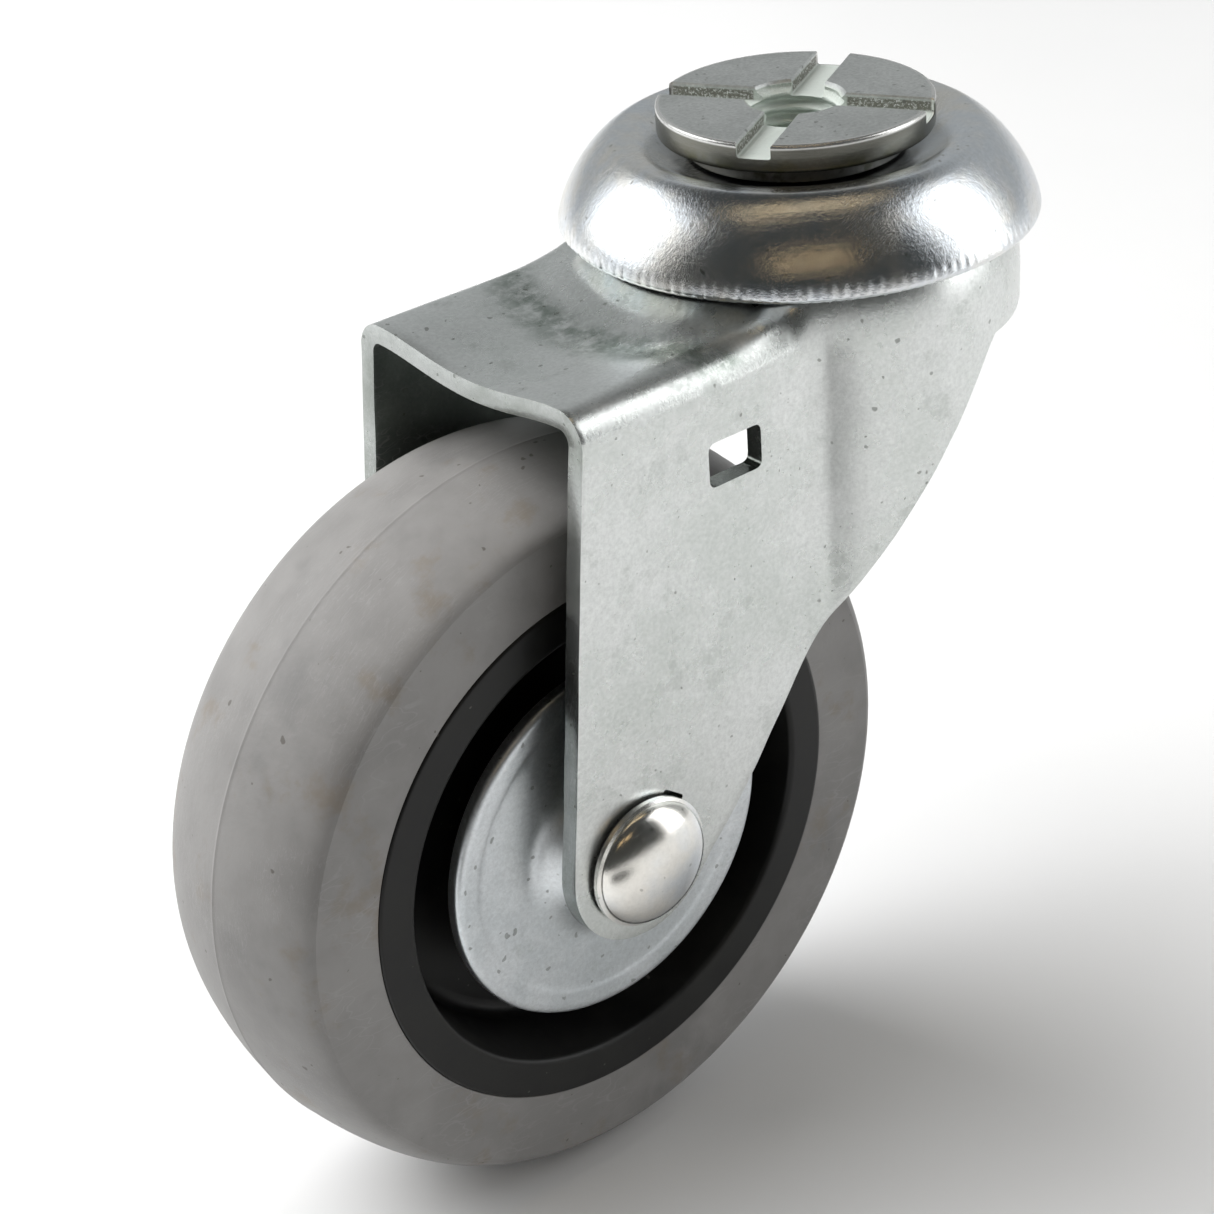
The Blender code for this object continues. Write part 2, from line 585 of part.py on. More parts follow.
def lock_ring(material, parent):
    """The nut's nylon ring."""
    start = NUT_SEAT + NUT_HEIGHT - NUT_COLLAR + SEAT_GAP
    stop = NUT_SEAT + NUT_HEIGHT - SEAT_GAP
    profile = [(AXLE_HOLE_R, start), (LOCK_RING_R, start), (LOCK_RING_R, stop), (AXLE_HOLE_R, stop)]
    return add_object("nut_lock_ring", turned_mesh("nut_lock_ring", profile, "Y", 24), material, parent)


def axle_tube(material, parent):
    """The spacer tube between the guards, on which the wheel's bushes turn."""
    end = LEG_INNER - SEAT_GAP - GUARD_SHEET - SEAT_GAP
    profile = [(AXLE_HOLE_R, -end), (TUBE_R, -end), (TUBE_R, end), (AXLE_HOLE_R, end)]
    return add_object("axle_tube", turned_mesh("axle_tube", profile, "Y", 28), material, parent)


def thread_guard(name, side, material, parent):
    """A dished disc that keeps thread off the bearing: raised seat, flat face and a rolled rim."""
    seat = LEG_INNER - SEAT_GAP
    face = GUARD_FACE_WIDTH / 2
    seat_r = GUARD_SEAT_DIAMETER / 2
    slope = math.atan2(seat - face, GUARD_DISH)
    lean = GUARD_SHEET * math.tan(slope / 2)
    outer = [(AXLE_HOLE_R, seat), (seat_r, seat), (seat_r + GUARD_DISH, face)]
    outer += arc((GUARD_R - GUARD_ROLL, face - GUARD_ROLL), GUARD_ROLL, math.pi / 2, 0.0, 4)
    outer += [(GUARD_R, face - GUARD_RIM_DEPTH)]
    inner = [(GUARD_R - GUARD_SHEET, face - GUARD_RIM_DEPTH), (GUARD_R - GUARD_SHEET, face - GUARD_SHEET),
             (seat_r + GUARD_DISH - lean, face - GUARD_SHEET), (seat_r - lean, seat - GUARD_SHEET),
             (AXLE_HOLE_R, seat - GUARD_SHEET)]
    profile = [(radius, side * height) for radius, height in outer + inner]
    return add_object(name, turned_mesh(name, profile, "Y"), material, parent)


# ---- the wheel ----

def hub(material, parent):
    """The black moulded hub: rim with a key groove, web and a centre boss."""
    half = RIM_WIDTH / 2
    web = HUB_WEB / 2
    bore = BUSH_R + SEAT_GAP
    boss = bore + HUB_BOSS_WALL
    groove = KEY_RIB_WIDTH / 2 + SEAT_GAP
    depth = HUB_R - KEY_RIB_DEPTH
    side = [(HUB_R, groove), (HUB_R, half - HUB_EDGE), (HUB_R - HUB_EDGE, half),
            (RIM_INNER_R + HUB_EDGE, half), (RIM_INNER_R, half - HUB_EDGE),
            (RIM_INNER_R - RIM_DRAFT, web), (boss + HUB_FILLET, web), (boss, web + HUB_FILLET),
            (boss, HUB_BOSS_LENGTH / 2), (bore, HUB_BOSS_LENGTH / 2)]
    profile = [(depth, groove)] + side + [(r, -h) for r, h in side[::-1]] + [(depth, -groove)]
    return add_object("hub", turned_mesh("hub", profile, "Y", 40), material, parent)


def tyre(material, parent):
    """The grey rubber tyre: crowned tread, flat sides and an inner rib keyed in the hub."""
    inner = HUB_R + SEAT_GAP
    half = TREAD_WIDTH / 2
    shoulder = WHEEL_DIAMETER / 2 - TREAD_CROWN
    tread = []
    for turn in np.linspace(-math.pi / 2, math.pi / 2, 11):
        across = math.sin(turn)
        rise = TREAD_CROWN * math.sqrt(max(1 - abs(across) ** CROWN_POWER, 0.0))
        tread.append((shoulder + rise, half * across))
    rib = KEY_RIB_WIDTH / 2
    rib_r = inner - KEY_RIB_DEPTH + SEAT_GAP
    root = RIM_WIDTH / 2
    profile = tread + [(inner, root), (inner, rib), (rib_r, rib),
                       (rib_r, -rib), (inner, -rib), (inner, -root)]
    return add_object("tyre", turned_mesh("tyre", profile, "Y", 44), material, parent)


def hub_bush(name, side, material, parent):
    """A flanged plain bush pressed in the hub."""
    inner_end = BUSH_SPACING / 2
    flange_in = HUB_BOSS_LENGTH / 2 + SEAT_GAP
    flange_out = flange_in + BUSH_FLANGE
    flange_r = BUSH_R + BUSH_FLANGE_LIP
    outline = [(BUSH_BORE_R, inner_end), (BUSH_R, inner_end), (BUSH_R, flange_in),
               (flange_r, flange_in), (flange_r, flange_out), (BUSH_BORE_R, flange_out)]
    profile = [(radius, side * height) for radius, height in outline]
    return add_object(name, turned_mesh(name, profile, "Y", 28), material, parent)


def main():
    """Build every piece in its place."""
    remove_everything()
    zinc = finish("zinc_plated_sheet", (0.62, 0.64, 0.63), 0.38, 1.0)
    bright_zinc = finish("bright_zinc", (0.74, 0.75, 0.76), 0.16, 1.0)
    turned_steel = finish("turned_steel", (0.55, 0.56, 0.57), 0.32, 1.0)
    ball_steel = finish("ball_steel", (0.70, 0.70, 0.71), 0.08, 1.0)
    guard_zinc = finish("guard_zinc", (0.58, 0.62, 0.66), 0.30, 1.0)
    grey_rubber = finish("grey_rubber", (0.33, 0.32, 0.32), 0.62, 0.0)
    black_nylon = finish("black_nylon", (0.025, 0.025, 0.025), 0.45, 0.0)
    white_acetal = finish("white_acetal", (0.78, 0.78, 0.74), 0.40, 0.0)

    swivel = guide("swivel_axis", (0, 0, 0))
    axle = guide("axle_line", AXLE)
    king_pin(turned_steel)
    head_cap(bright_zinc)
    lower_race(bright_zinc)
    balls("upper_ball", UPPER_PITCH_R, UPPER_BALL_Z, ball_steel, swivel)
    balls("lower_ball", LOWER_PITCH_R, LOWER_BALL_Z, ball_steel, swivel)
    fork(zinc, swivel)
    axle_bolt(bright_zinc, axle)
    axle_nut(bright_zinc, axle)
    lock_ring(white_acetal, axle)
    axle_tube(turned_steel, axle)
    thread_guard("thread_guard_left", -1, guard_zinc, axle)
    thread_guard("thread_guard_right", 1, guard_zinc, axle)
    hub(black_nylon, axle)
    tyre(grey_rubber, axle)
    hub_bush("hub_bush_left", -1, white_acetal, axle)
    hub_bush("hub_bush_right", 1, white_acetal, axle)


main()
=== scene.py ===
# %% [markdown]
# # A swivel castor with a bolt-hole head
# The object is a small trolley castor: a grey rubber wheel on a black hub, in a pressed steel fork that
# swivels under a bright cap. The CAD model holds its sizes and its motion. This file gives each piece the
# fine surface and the finish of the real one, and leaves every place where the CAD put it.

import math

import bmesh
import bpy
import numpy as np
from mathutils import Matrix, Vector


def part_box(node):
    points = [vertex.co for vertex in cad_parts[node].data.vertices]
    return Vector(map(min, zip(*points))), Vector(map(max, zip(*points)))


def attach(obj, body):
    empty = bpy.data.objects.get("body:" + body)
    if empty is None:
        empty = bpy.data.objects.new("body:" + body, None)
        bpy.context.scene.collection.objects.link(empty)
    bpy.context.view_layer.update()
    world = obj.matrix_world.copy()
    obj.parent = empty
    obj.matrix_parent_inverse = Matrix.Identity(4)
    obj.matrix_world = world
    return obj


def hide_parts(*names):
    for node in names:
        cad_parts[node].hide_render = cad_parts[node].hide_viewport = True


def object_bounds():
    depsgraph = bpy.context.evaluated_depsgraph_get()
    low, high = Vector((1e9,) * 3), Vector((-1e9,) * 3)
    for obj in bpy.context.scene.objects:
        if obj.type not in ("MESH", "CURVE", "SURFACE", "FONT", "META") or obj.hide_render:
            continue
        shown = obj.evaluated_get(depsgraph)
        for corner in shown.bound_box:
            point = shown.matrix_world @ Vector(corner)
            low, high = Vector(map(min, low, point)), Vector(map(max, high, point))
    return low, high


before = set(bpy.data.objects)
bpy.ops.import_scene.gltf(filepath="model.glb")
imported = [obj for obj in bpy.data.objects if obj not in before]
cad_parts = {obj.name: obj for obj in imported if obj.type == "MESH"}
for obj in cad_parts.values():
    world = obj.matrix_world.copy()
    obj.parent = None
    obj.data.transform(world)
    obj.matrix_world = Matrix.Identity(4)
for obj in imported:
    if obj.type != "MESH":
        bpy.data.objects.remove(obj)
cad_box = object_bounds()
print("CAD box:", [tuple(round(v, 4) for v in corner) for corner in cad_box])

# %% [markdown]
# ## Units and driving sizes
# Everything below is worked out in millimetres and turned into metres as a mesh is made. What the frame
# can tell is read from it: where the axle is, how large the wheel is, how far the head reaches.

# %% Sizes read from the frame
MM = 0.001


def span(node):
    """A CAD node's lowest and highest corner, in millimetres."""
    return [np.array(corner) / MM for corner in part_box(node)]


hub_low, hub_high = span("hub")
tyre_low, tyre_high = span("tyre")
pin_low, pin_high = span("king_pin")
cap_low, cap_high = span("head_cap")
guard_low, guard_high = span("thread_guard_left")
AXLE = (hub_low + hub_high) / 2
WHEEL_R = (tyre_high[2] - tyre_low[2]) / 2
HUB_R = (hub_high[2] - hub_low[2]) / 2
RIM_HALF = (hub_high[1] - hub_low[1]) / 2
HEAD_R = pin_high[0]
CAP_R = cap_high[0]
LEG_OUTER = 17.15
SHEET = 2.0
FORK_FRONT = 43.7
print("axle at", AXLE.round(2), "wheel radius", round(WHEEL_R, 2), "cap radius", round(CAP_R, 2))

# %% [markdown]
# ## From arrays to meshes
# Every new surface is a grid of points. Its faces follow from the grid's size alone, so the same few
# lines make a tyre, a thread or a pressed fork. Doubles are merged, which closes seams and poles, and
# then the normals are turned outwards.

# %% Grid faces and meshes
SHARP_ANGLE = math.radians(38)


def grid_faces(rows, columns, wrap_rows=False, wrap_columns=False):
    """Quads of a grid: (i, j), (i + 1, j), (i + 1, j + 1), (i, j + 1), going round where it wraps."""
    i = np.arange(rows if wrap_rows else rows - 1)[:, None]
    j = np.arange(columns if wrap_columns else columns - 1)[None, :]
    below, beside = (i + 1) % rows, (j + 1) % columns
    corners = (i * columns + j, below * columns + j, below * columns + beside, i * columns + beside)
    return np.stack(corners, axis=-1).reshape(-1, 4)


def mesh_of(name, points, faces):
    """Points in millimetres and lists of corners as a mesh in metres, doubles merged, faces outwards."""
    mesh = bpy.data.meshes.new(name)
    mesh.from_pydata((np.asarray(points, float).reshape(-1, 3) * MM).tolist(), [], faces)
    bm = bmesh.new()
    bm.from_mesh(mesh)
    bmesh.ops.remove_doubles(bm, verts=bm.verts[:], dist=2e-7)
    bmesh.ops.recalc_face_normals(bm, faces=bm.faces[:])
    bm.to_mesh(mesh)
    bm.free()
    mesh.shade_smooth()
    mesh.set_sharp_from_angle(angle=SHARP_ANGLE)
    return mesh


def piece_of(name, mesh):
    """Link a mesh as an object at the origin."""
    thing = bpy.data.objects.new(name, mesh)
    bpy.context.scene.collection.objects.link(thing)
    return thing


def settle(thing):
    """Apply a piece's modifiers, so that its mesh is its final shape."""
    bpy.context.view_layer.update()
    made = bpy.data.meshes.new_from_object(thing.evaluated_get(bpy.context.evaluated_depsgraph_get()))
    thing.modifiers.clear()
    thing.data = made
    made.shade_smooth()
    made.set_sharp_from_angle(angle=SHARP_ANGLE)
    return thing


def carve(thing, tools, how="DIFFERENCE"):
    """Cut or join tool bodies with an exact Boolean, then throw the tools away."""
    for tool in tools:
        step = thing.modifiers.new(tool.name, "BOOLEAN")
        step.operation = how
        step.solver = "EXACT"
        step.object = tool
    settle(thing)
    for tool in tools:
        bpy.data.objects.remove(tool)
    return thing


# %% Finishing a piece
def fit_out(thing, node, body, slot, *materials):
    """A finished piece gets its materials, rides on its body and stands for its CAD node. The slot argument
    is not used.
    """
    for material in materials:
        thing.data.materials.append(material)
    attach(thing, body)
    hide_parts(node)
    print(thing.name, len(thing.data.polygons), "faces")
    return thing


print("faces of a 3 by 4 grid:", len(grid_faces(3, 4)), "open,", len(grid_faces(3, 4, True, True)), "closed")

# %% [markdown]
# ## Turned profiles
# Most of a castor is round: it is turned on a lathe, moulded in a round tool or spun from sheet. Each such
# piece is a profile of radius and height carried round its axis. Real edges are never knife sharp, so each
# corner of a profile becomes a short curve with its own size.

# %% Rounded profiles and turning
LONGEST_FILLET = 0.45
LONGEST_SUPPORT = 0.04


def rounded(corners, closed=True, steps=5, support=0.12):
    """Corners (radius, height, fillet) become curves (1-t)^2 a + 2t(1-t) corner + t^2 b.

    a and b lie a fillet's length before and after the corner, at most a share of the side, and one more
    point further on each side keeps the straight runs flat when the surface is shaded smooth.
    """
    table = np.array(corners, float)
    at, fillet = table[:, :2], table[:, 2:]
    before, after = np.roll(at, 1, axis=0) - at, np.roll(at, -1, axis=0) - at
    if not closed:
        before[0], after[-1] = 0.0, 0.0
    before_length = np.linalg.norm(before, axis=1, keepdims=True) + 1e-9
    after_length = np.linalg.norm(after, axis=1, keepdims=True) + 1e-9
    a_share = np.minimum(fillet / before_length, LONGEST_FILLET)
    b_share = np.minimum(fillet / after_length, LONGEST_FILLET)
    a, b = at + before * a_share, at + after * b_share
    t = np.linspace(0, 1, steps)[None, :, None]
    curve = (1 - t) ** 2 * a[:, None] + 2 * t * (1 - t) * at[:, None] + t ** 2 * b[:, None]
    ahead = at + before * (a_share + np.minimum(support / before_length, LONGEST_SUPPORT))
    behind = at + after * (b_share + np.minimum(support / after_length, LONGEST_SUPPORT))
    line = np.concatenate([ahead[:, None], curve, behind[:, None]], axis=1).reshape(-1, 2)
    moved = np.linalg.norm(line - np.roll(line, 1, axis=0), axis=1) > 1e-4
    moved[0] = True
    return line[moved]


def around(profile, steps, ripple=None):
    """Angles and radii of a profile carried round: radius + ripple(height, angle), one row a point."""
    turn = np.linspace(0, 2 * np.pi, steps, endpoint=False)[None, :]
    radius = profile[:, :1] + np.zeros_like(turn)
    height = profile[:, 1:] + np.zeros_like(turn)
    if ripple is not None:
        radius, height = ripple(radius, height, turn + np.zeros_like(radius))
    return turn, radius, height


def turned(name, profile, axis="Z", steps=160, ripple=None, closed=True):
    """An object: a profile round the swivel axis, (r cos a, r sin a, h), or round the axle,
    (x + r cos a, h, z + r sin a)."""
    turn, radius, height = around(np.asarray(profile, float), steps, ripple)
    across, up = radius * np.cos(turn), radius * np.sin(turn)
    if axis == "Z":
        points = np.stack([across, up, height], axis=-1)
    else:
        points = np.stack([AXLE[0] + across, height, AXLE[2] + up], axis=-1)
    faces = grid_faces(*radius.shape, wrap_rows=closed, wrap_columns=True)
    return piece_of(name, mesh_of(name, points, faces.tolist()))


def prism(name, outline, ends, place=None):
    """An outline in x and z drawn along y between two ends, capped, then moved by a matrix in millimetres."""
    outline = np.asarray(outline, float)
    count = len(outline)
    sides = [np.column_stack([outline[:, 0], np.full(count, end), outline[:, 1]]) for end in ends]
    points = np.concatenate(sides)
    if place is not None:
        matrix = np.array(place)
        points = points @ matrix[:3, :3].T + matrix[:3, 3]
    faces = grid_faces(2, count, wrap_columns=True).tolist()
    faces += [list(range(count)), list(range(count, 2 * count))]
    return piece_of(name, mesh_of(name, points, faces))


def smooth_step(value):
    """0 below 0, 1 above 1 and the even S 3t^2 - 2t^3 between."""
    value = np.clip(value, 0.0, 1.0)
    return value * value * (3 - 2 * value)


square = rounded([(1, 0, 0.2), (2, 0, 0.2), (2, 1, 0.2), (1, 1, 0.2)])
print("a square profile with rounded corners has", len(square), "points")

# %% [markdown]
# ## Shader helpers
# A finish is a small network of nodes. `put` adds one node and fills its inputs: a socket is linked and
# anything else is set. `effect` makes a node group with named sockets, so that grain, scratches and dirt
# are built once and used in many finishes with other numbers.

# %% Node helpers
def put(tree, kind, *values, prop=None, **named):
    """Add a shader node, set its properties, and link or set its inputs by place or by name."""
    made = tree.nodes.new("ShaderNode" + kind)
    for key, value in (prop or {}).items():
        setattr(made, key, value)
    for key, value in [*enumerate(values), *((k.replace("_", " "), v) for k, v in named.items())]:
        if isinstance(value, bpy.types.NodeSocket):
            tree.links.new(value, made.inputs[key])
        elif value is not None:
            made.inputs[key].default_value = value
    return made


def maths(tree, operation, *values):
    """One Math node's result."""
    return put(tree, "Math", *values, prop={"operation": operation}).outputs[0]


def band(tree, value, low, high, start=0.0, stop=1.0):
    """A value carried smoothly from the range low..high to start..stop."""
    ranged = put(tree, "MapRange", value, low, high, start, stop, prop={"interpolation_type": "SMOOTHSTEP"})
    return ranged.outputs[0]


def blend_colour(tree, factor, first, second, how="MIX"):
    """Two colours mixed by a factor."""
    made = tree.nodes.new("ShaderNodeMix")
    made.data_type, made.blend_type = "RGBA", how
    for socket, value in zip((made.inputs[0], made.inputs[6], made.inputs[7]), (factor, first, second)):
        if isinstance(value, bpy.types.NodeSocket):
            tree.links.new(value, socket)
        else:
            socket.default_value = value if socket.type == "VALUE" else (*value, 1.0)
    return made.outputs[2]


def both(tree, first, second):
    """Where two masks are 1 together: their product."""
    return maths(tree, "MULTIPLY", first, second)


def cover(tree, colour, mask, share, over):
    """A colour with another laid over it where a mask is 1, by at most a share."""
    return blend_colour(tree, maths(tree, "MULTIPLY", mask, share), colour, over)


def grained(tree, colour, grain, share):
    """A colour times 1 + share * (grain - 0.5), so that a grain darkens and lightens it evenly."""
    shade = maths(tree, "MULTIPLY_ADD", grain, share, 1 - share / 2)
    grey = put(tree, "CombineColor", shade, shade, shade).outputs[0]
    return blend_colour(tree, 1.0, colour, grey, "MULTIPLY")


def effect(name, inputs, outputs, build):
    """A node group with named inputs (name, kind, default) and outputs (name, kind)."""
    tree = bpy.data.node_groups.new(name, "ShaderNodeTree")
    for label, kind, default in inputs:
        socket = tree.interface.new_socket(label, in_out="INPUT", socket_type="NodeSocket" + kind)
        if default is not None:
            socket.default_value = default
    for label, kind in outputs:
        tree.interface.new_socket(label, in_out="OUTPUT", socket_type="NodeSocket" + kind)
    source, sink = tree.nodes.new("NodeGroupInput"), tree.nodes.new("NodeGroupOutput")
    for label, socket in build(tree, source.outputs).items():
        tree.links.new(socket, sink.inputs[label])
    return tree


def use(tree, group, **named):
    """Place a group in a material."""
    made = tree.nodes.new("ShaderNodeGroup")
    made.node_tree = group
    for key, value in named.items():
        socket = made.inputs[key.replace("_", " ")]
        if isinstance(value, bpy.types.NodeSocket):
            tree.links.new(value, socket)
        else:
            socket.default_value = value
    return made.outputs


def noise(tree, where, scale, detail=3.0, rough=0.55):
    """A noise value over object coordinates; scale counts features a metre."""
    return put(tree, "TexNoise", Vector=where, Scale=scale, Detail=detail, Roughness=rough).outputs[0]


def finish(name, metallic, build):
    """A material: build(tree, where) gives what goes to the Principled shader's inputs and to its bump."""
    material = bpy.data.materials.new(name)
    material.use_nodes = True
    tree = material.node_tree
    shader = tree.nodes["Principled BSDF"]
    shader.inputs["Metallic"].default_value = metallic
    where = put(tree, "TexCoord").outputs["Object"]
    parts = build(tree, where)
    height, depth = parts.pop("Height", None), parts.pop("Depth", 0.0)
    for key, value in parts.items():
        if isinstance(value, bpy.types.NodeSocket):
            tree.links.new(value, shader.inputs[key])
        else:
            shader.inputs[key].default_value = value
    if height is not None:
        bump = put(tree, "Bump", Strength=1.0, Distance=depth, Height=height)
        tree.links.new(bump.outputs["Normal"], shader.inputs["Normal"])
    return material


# %% [markdown]
# ## Shared effects
# Sheet that has been through a press and a plating barrel carries fine scratches in all directions, dark
# specks where the zinc is thin, and clouds where it is thicker. Turned steel shows rings. All of them are
# masks worked out from object coordinates, so they stay put on the piece from every side.

# %% Scratches, specks, clouds and rings
def build_scratches(tree, source):
    """Noise drawn out long in two turned directions; only a thin slice of its values is a scratch."""
    lines = []
    for turn, stretch in ((0.5, 14.0), (2.1, 11.0), (1.25, 16.0)):
        laid = put(tree, "Mapping", Vector=source["Where"], Rotation=(turn, turn * 0.7, turn * 1.3),
                   Scale=(1.0, stretch, 3.0)).outputs[0]
        value = put(tree, "TexNoise", Vector=laid, Scale=source["Scale"], Detail=2.0).outputs[0]
        off = maths(tree, "ABSOLUTE", maths(tree, "SUBTRACT", value, 0.5))
        lines.append(put(tree, "MapRange", off, 0.0, source["Width"], 1.0, 0.0).outputs[0])
    some = maths(tree, "MAXIMUM", maths(tree, "MAXIMUM", lines[0], lines[1]), lines[2])
    patches = put(tree, "TexNoise", Vector=source["Where"], Scale=90.0, Detail=2.0).outputs[0]
    return {"Mask": maths(tree, "MULTIPLY", some, band(tree, patches, 0.38, 0.68))}


def build_specks(tree, source):
    """Cells of a Voronoi pattern: a cell holds a speck if its random colour is above the share, and the
    speck is the part of the cell nearer to its centre than the size."""
    warp = put(tree, "TexNoise", Vector=source["Where"], Scale=900.0, Detail=1.0).outputs["Color"]
    reach = (0.9 * MM,) * 3
    bent = put(tree, "VectorMath", warp, reach, source["Where"], prop={"operation": "MULTIPLY_ADD"})
    cells = put(tree, "TexVoronoi", Vector=bent.outputs[0], Scale=source["Scale"])
    chance, share, _ = put(tree, "SeparateColor", cells.outputs["Color"]).outputs
    chosen = maths(tree, "GREATER_THAN", chance, source["Rarity"])
    size = maths(tree, "MULTIPLY", share, source["Size"])
    inside = maths(tree, "SUBTRACT", size, cells.outputs["Distance"])
    return {"Mask": maths(tree, "MULTIPLY", chosen, band(tree, inside, 0.0, 0.09))}


def build_clouds(tree, source):
    """Two noises of different size, the broad one counting double, drawn to the range 0 to 1."""
    broad = put(tree, "TexNoise", Vector=source["Where"], Scale=source["Scale"], Detail=3.0).outputs[0]
    finer_scale = maths(tree, "MULTIPLY", source["Scale"], 5.0)
    finer = put(tree, "TexNoise", Vector=source["Where"], Scale=finer_scale, Detail=4.0).outputs[0]
    mixed = maths(tree, "MULTIPLY_ADD", finer, 0.34, maths(tree, "MULTIPLY", broad, 0.66))
    return {"Value": band(tree, mixed, 0.36, 0.64)}


def build_rings(tree, source):
    """Noise read by the distance from the Z axis alone, which gives fine uneven rings."""
    x, y, z = put(tree, "SeparateXYZ", source["Where"]).outputs
    radius = maths(tree, "SQRT", maths(tree, "MULTIPLY_ADD", x, x, maths(tree, "MULTIPLY", y, y)))
    up = maths(tree, "MULTIPLY", z, source["Height share"])
    along = put(tree, "CombineXYZ", radius, 0.0, up).outputs[0]
    rings = put(tree, "TexNoise", Vector=along, Scale=source["Scale"], Detail=2.0).outputs[0]
    return {"Value": rings, "Radius": radius}


WHERE = ("Where", "Vector", None)
MASK = ("Mask", "Float")
VALUE = ("Value", "Float")
scratches = effect("scratches", [WHERE, ("Scale", "Float", 160.0), ("Width", "Float", 0.006)],
                   [MASK], build_scratches)
specks = effect("specks", [WHERE, ("Scale", "Float", 400.0), ("Rarity", "Float", 0.8),
                           ("Size", "Float", 0.3)], [MASK], build_specks)
clouds = effect("clouds", [WHERE, ("Scale", "Float", 60.0)], [VALUE], build_clouds)
rings = effect("rings", [WHERE, ("Scale", "Float", 3000.0), ("Height share", "Float", 1.0)],
               [VALUE, ("Radius", "Float")], build_rings)
print("shared effects:", [g.name for g in (scratches, specks, clouds, rings)])


# %% [markdown]
# ## Metal finishes
# Zinc plate is bright where the sheet under it is smooth, as on the cap, and dull and greenish on the
# rough sheet of the fork. The king pin is turned and then tumbled, so its faces are matt and only its edges
# shine. A passivated layer gives the brightest zinc a faint change between blue and gold.

# %% Zinc sheet of the fork
FOOT_FROM, FOOT_TO = (27.2 * MM, 30.0 * MM), (36.0 * MM, 30.5 * MM)
FOOT_HEIGHT = (-16.8 * MM, -15.6 * MM)


def plated_sheet(dark, light, rough_base, rough_share, painted_hollow_shade=0.0):
    """A finish for plated sheet: clouds from dark to light, a fine grain, bright scratches, dark specks,
    and, where the hollow's share isn't 0, a painted green-grey shade in the hollow at the neck's foot."""
    def build(tree, where):
        cloud = use(tree, clouds, Where=where, Scale=60.0)["Value"]
        scratch = use(tree, scratches, Where=where, Scale=170.0, Width=0.007)["Mask"]
        speck = use(tree, specks, Where=where, Scale=1300.0, Rarity=0.88, Size=0.40)["Mask"]
        pit = use(tree, specks, Where=where, Scale=420.0, Rarity=0.95, Size=0.22)["Mask"]
        grain = noise(tree, where, 2300.0, 3.0, 0.7)
        stain = band(tree, noise(tree, where, 210.0, 6.0, 0.72), 0.56, 0.66)
        colour = blend_colour(tree, cloud, dark, light)
        colour = grained(tree, colour, grain, 0.5)
        colour = cover(tree, colour, stain, 0.17, (0.30, 0.34, 0.30))
        # Painted shade: the hollow at the neck's foot is darkened green-grey in the colour, standing in for
        # the shade that lies there.
        if painted_hollow_shade:
            foot = use(tree, rings, Where=where, Scale=500.0)["Radius"]
            level = put(tree, "SeparateXYZ", where).outputs[2]
            near_foot = both(tree, band(tree, foot, *FOOT_FROM), band(tree, foot, *FOOT_TO))
            on_top = both(tree, near_foot, band(tree, level, *FOOT_HEIGHT))
            hollow_shade_streaks = band(tree, noise(tree, where, 420.0, 4.0, 0.7), 0.30, 0.62)
            colour = cover(tree, colour, both(tree, on_top, hollow_shade_streaks), painted_hollow_shade, (0.13, 0.175, 0.14))
        colour = cover(tree, colour, scratch, 0.40, (0.88, 0.89, 0.89))
        colour = cover(tree, colour, speck, 0.50, (0.16, 0.17, 0.15))
        colour = cover(tree, colour, pit, 0.80, (0.12, 0.12, 0.10))
        rough = maths(tree, "MULTIPLY_ADD", cloud, rough_share, rough_base)
        rough = maths(tree, "MULTIPLY_ADD", stain, 0.12, rough)
        rough = maths(tree, "MULTIPLY_ADD", speck, 0.20, rough)
        height = maths(tree, "MULTIPLY_ADD", scratch, -0.15, maths(tree, "MULTIPLY_ADD", speck, -0.4, grain))
        return {"Base Color": colour, "Roughness": rough, "Height": height, "Depth": 0.014 * MM}
    return build


# The fork's finish carries a painted shade in the hollow at the neck's foot.
zinc_of_fork = finish("zinc_sheet_of_fork", 0.95,
                      plated_sheet((0.64, 0.67, 0.65), (0.74, 0.76, 0.75), 0.23, 0.09, painted_hollow_shade=0.75))
# Painted shade: the inner face's dark green-grey colour stands in for the shade inside the fork's channel.
inner_zinc_painted_shade = finish("painted_shade_inside_fork", 0.9,
                     plated_sheet((0.13, 0.155, 0.14), (0.20, 0.225, 0.205), 0.32, 0.10))
zinc_of_cuts = finish("zinc_on_cut_edges", 0.9,
                      plated_sheet((0.24, 0.26, 0.24), (0.42, 0.44, 0.43), 0.16, 0.07))
zinc_of_guards = finish("zinc_of_guards", 0.92,
                        plated_sheet((0.60, 0.64, 0.66), (0.72, 0.75, 0.77), 0.30, 0.08))
print("sheet finishes:", [m.name for m in (zinc_of_fork, inner_zinc_painted_shade, zinc_of_cuts, zinc_of_guards)])

# %% [markdown]
# ## Bright zinc
# The cap and the axle are smooth under their plating, so they mirror the room. Low roughness alone would
# look like chrome. Fine rings from the press tool, a grain and a drift of tint make it zinc, and the axle
# differs from the cap only in how rough and how grainy it is.

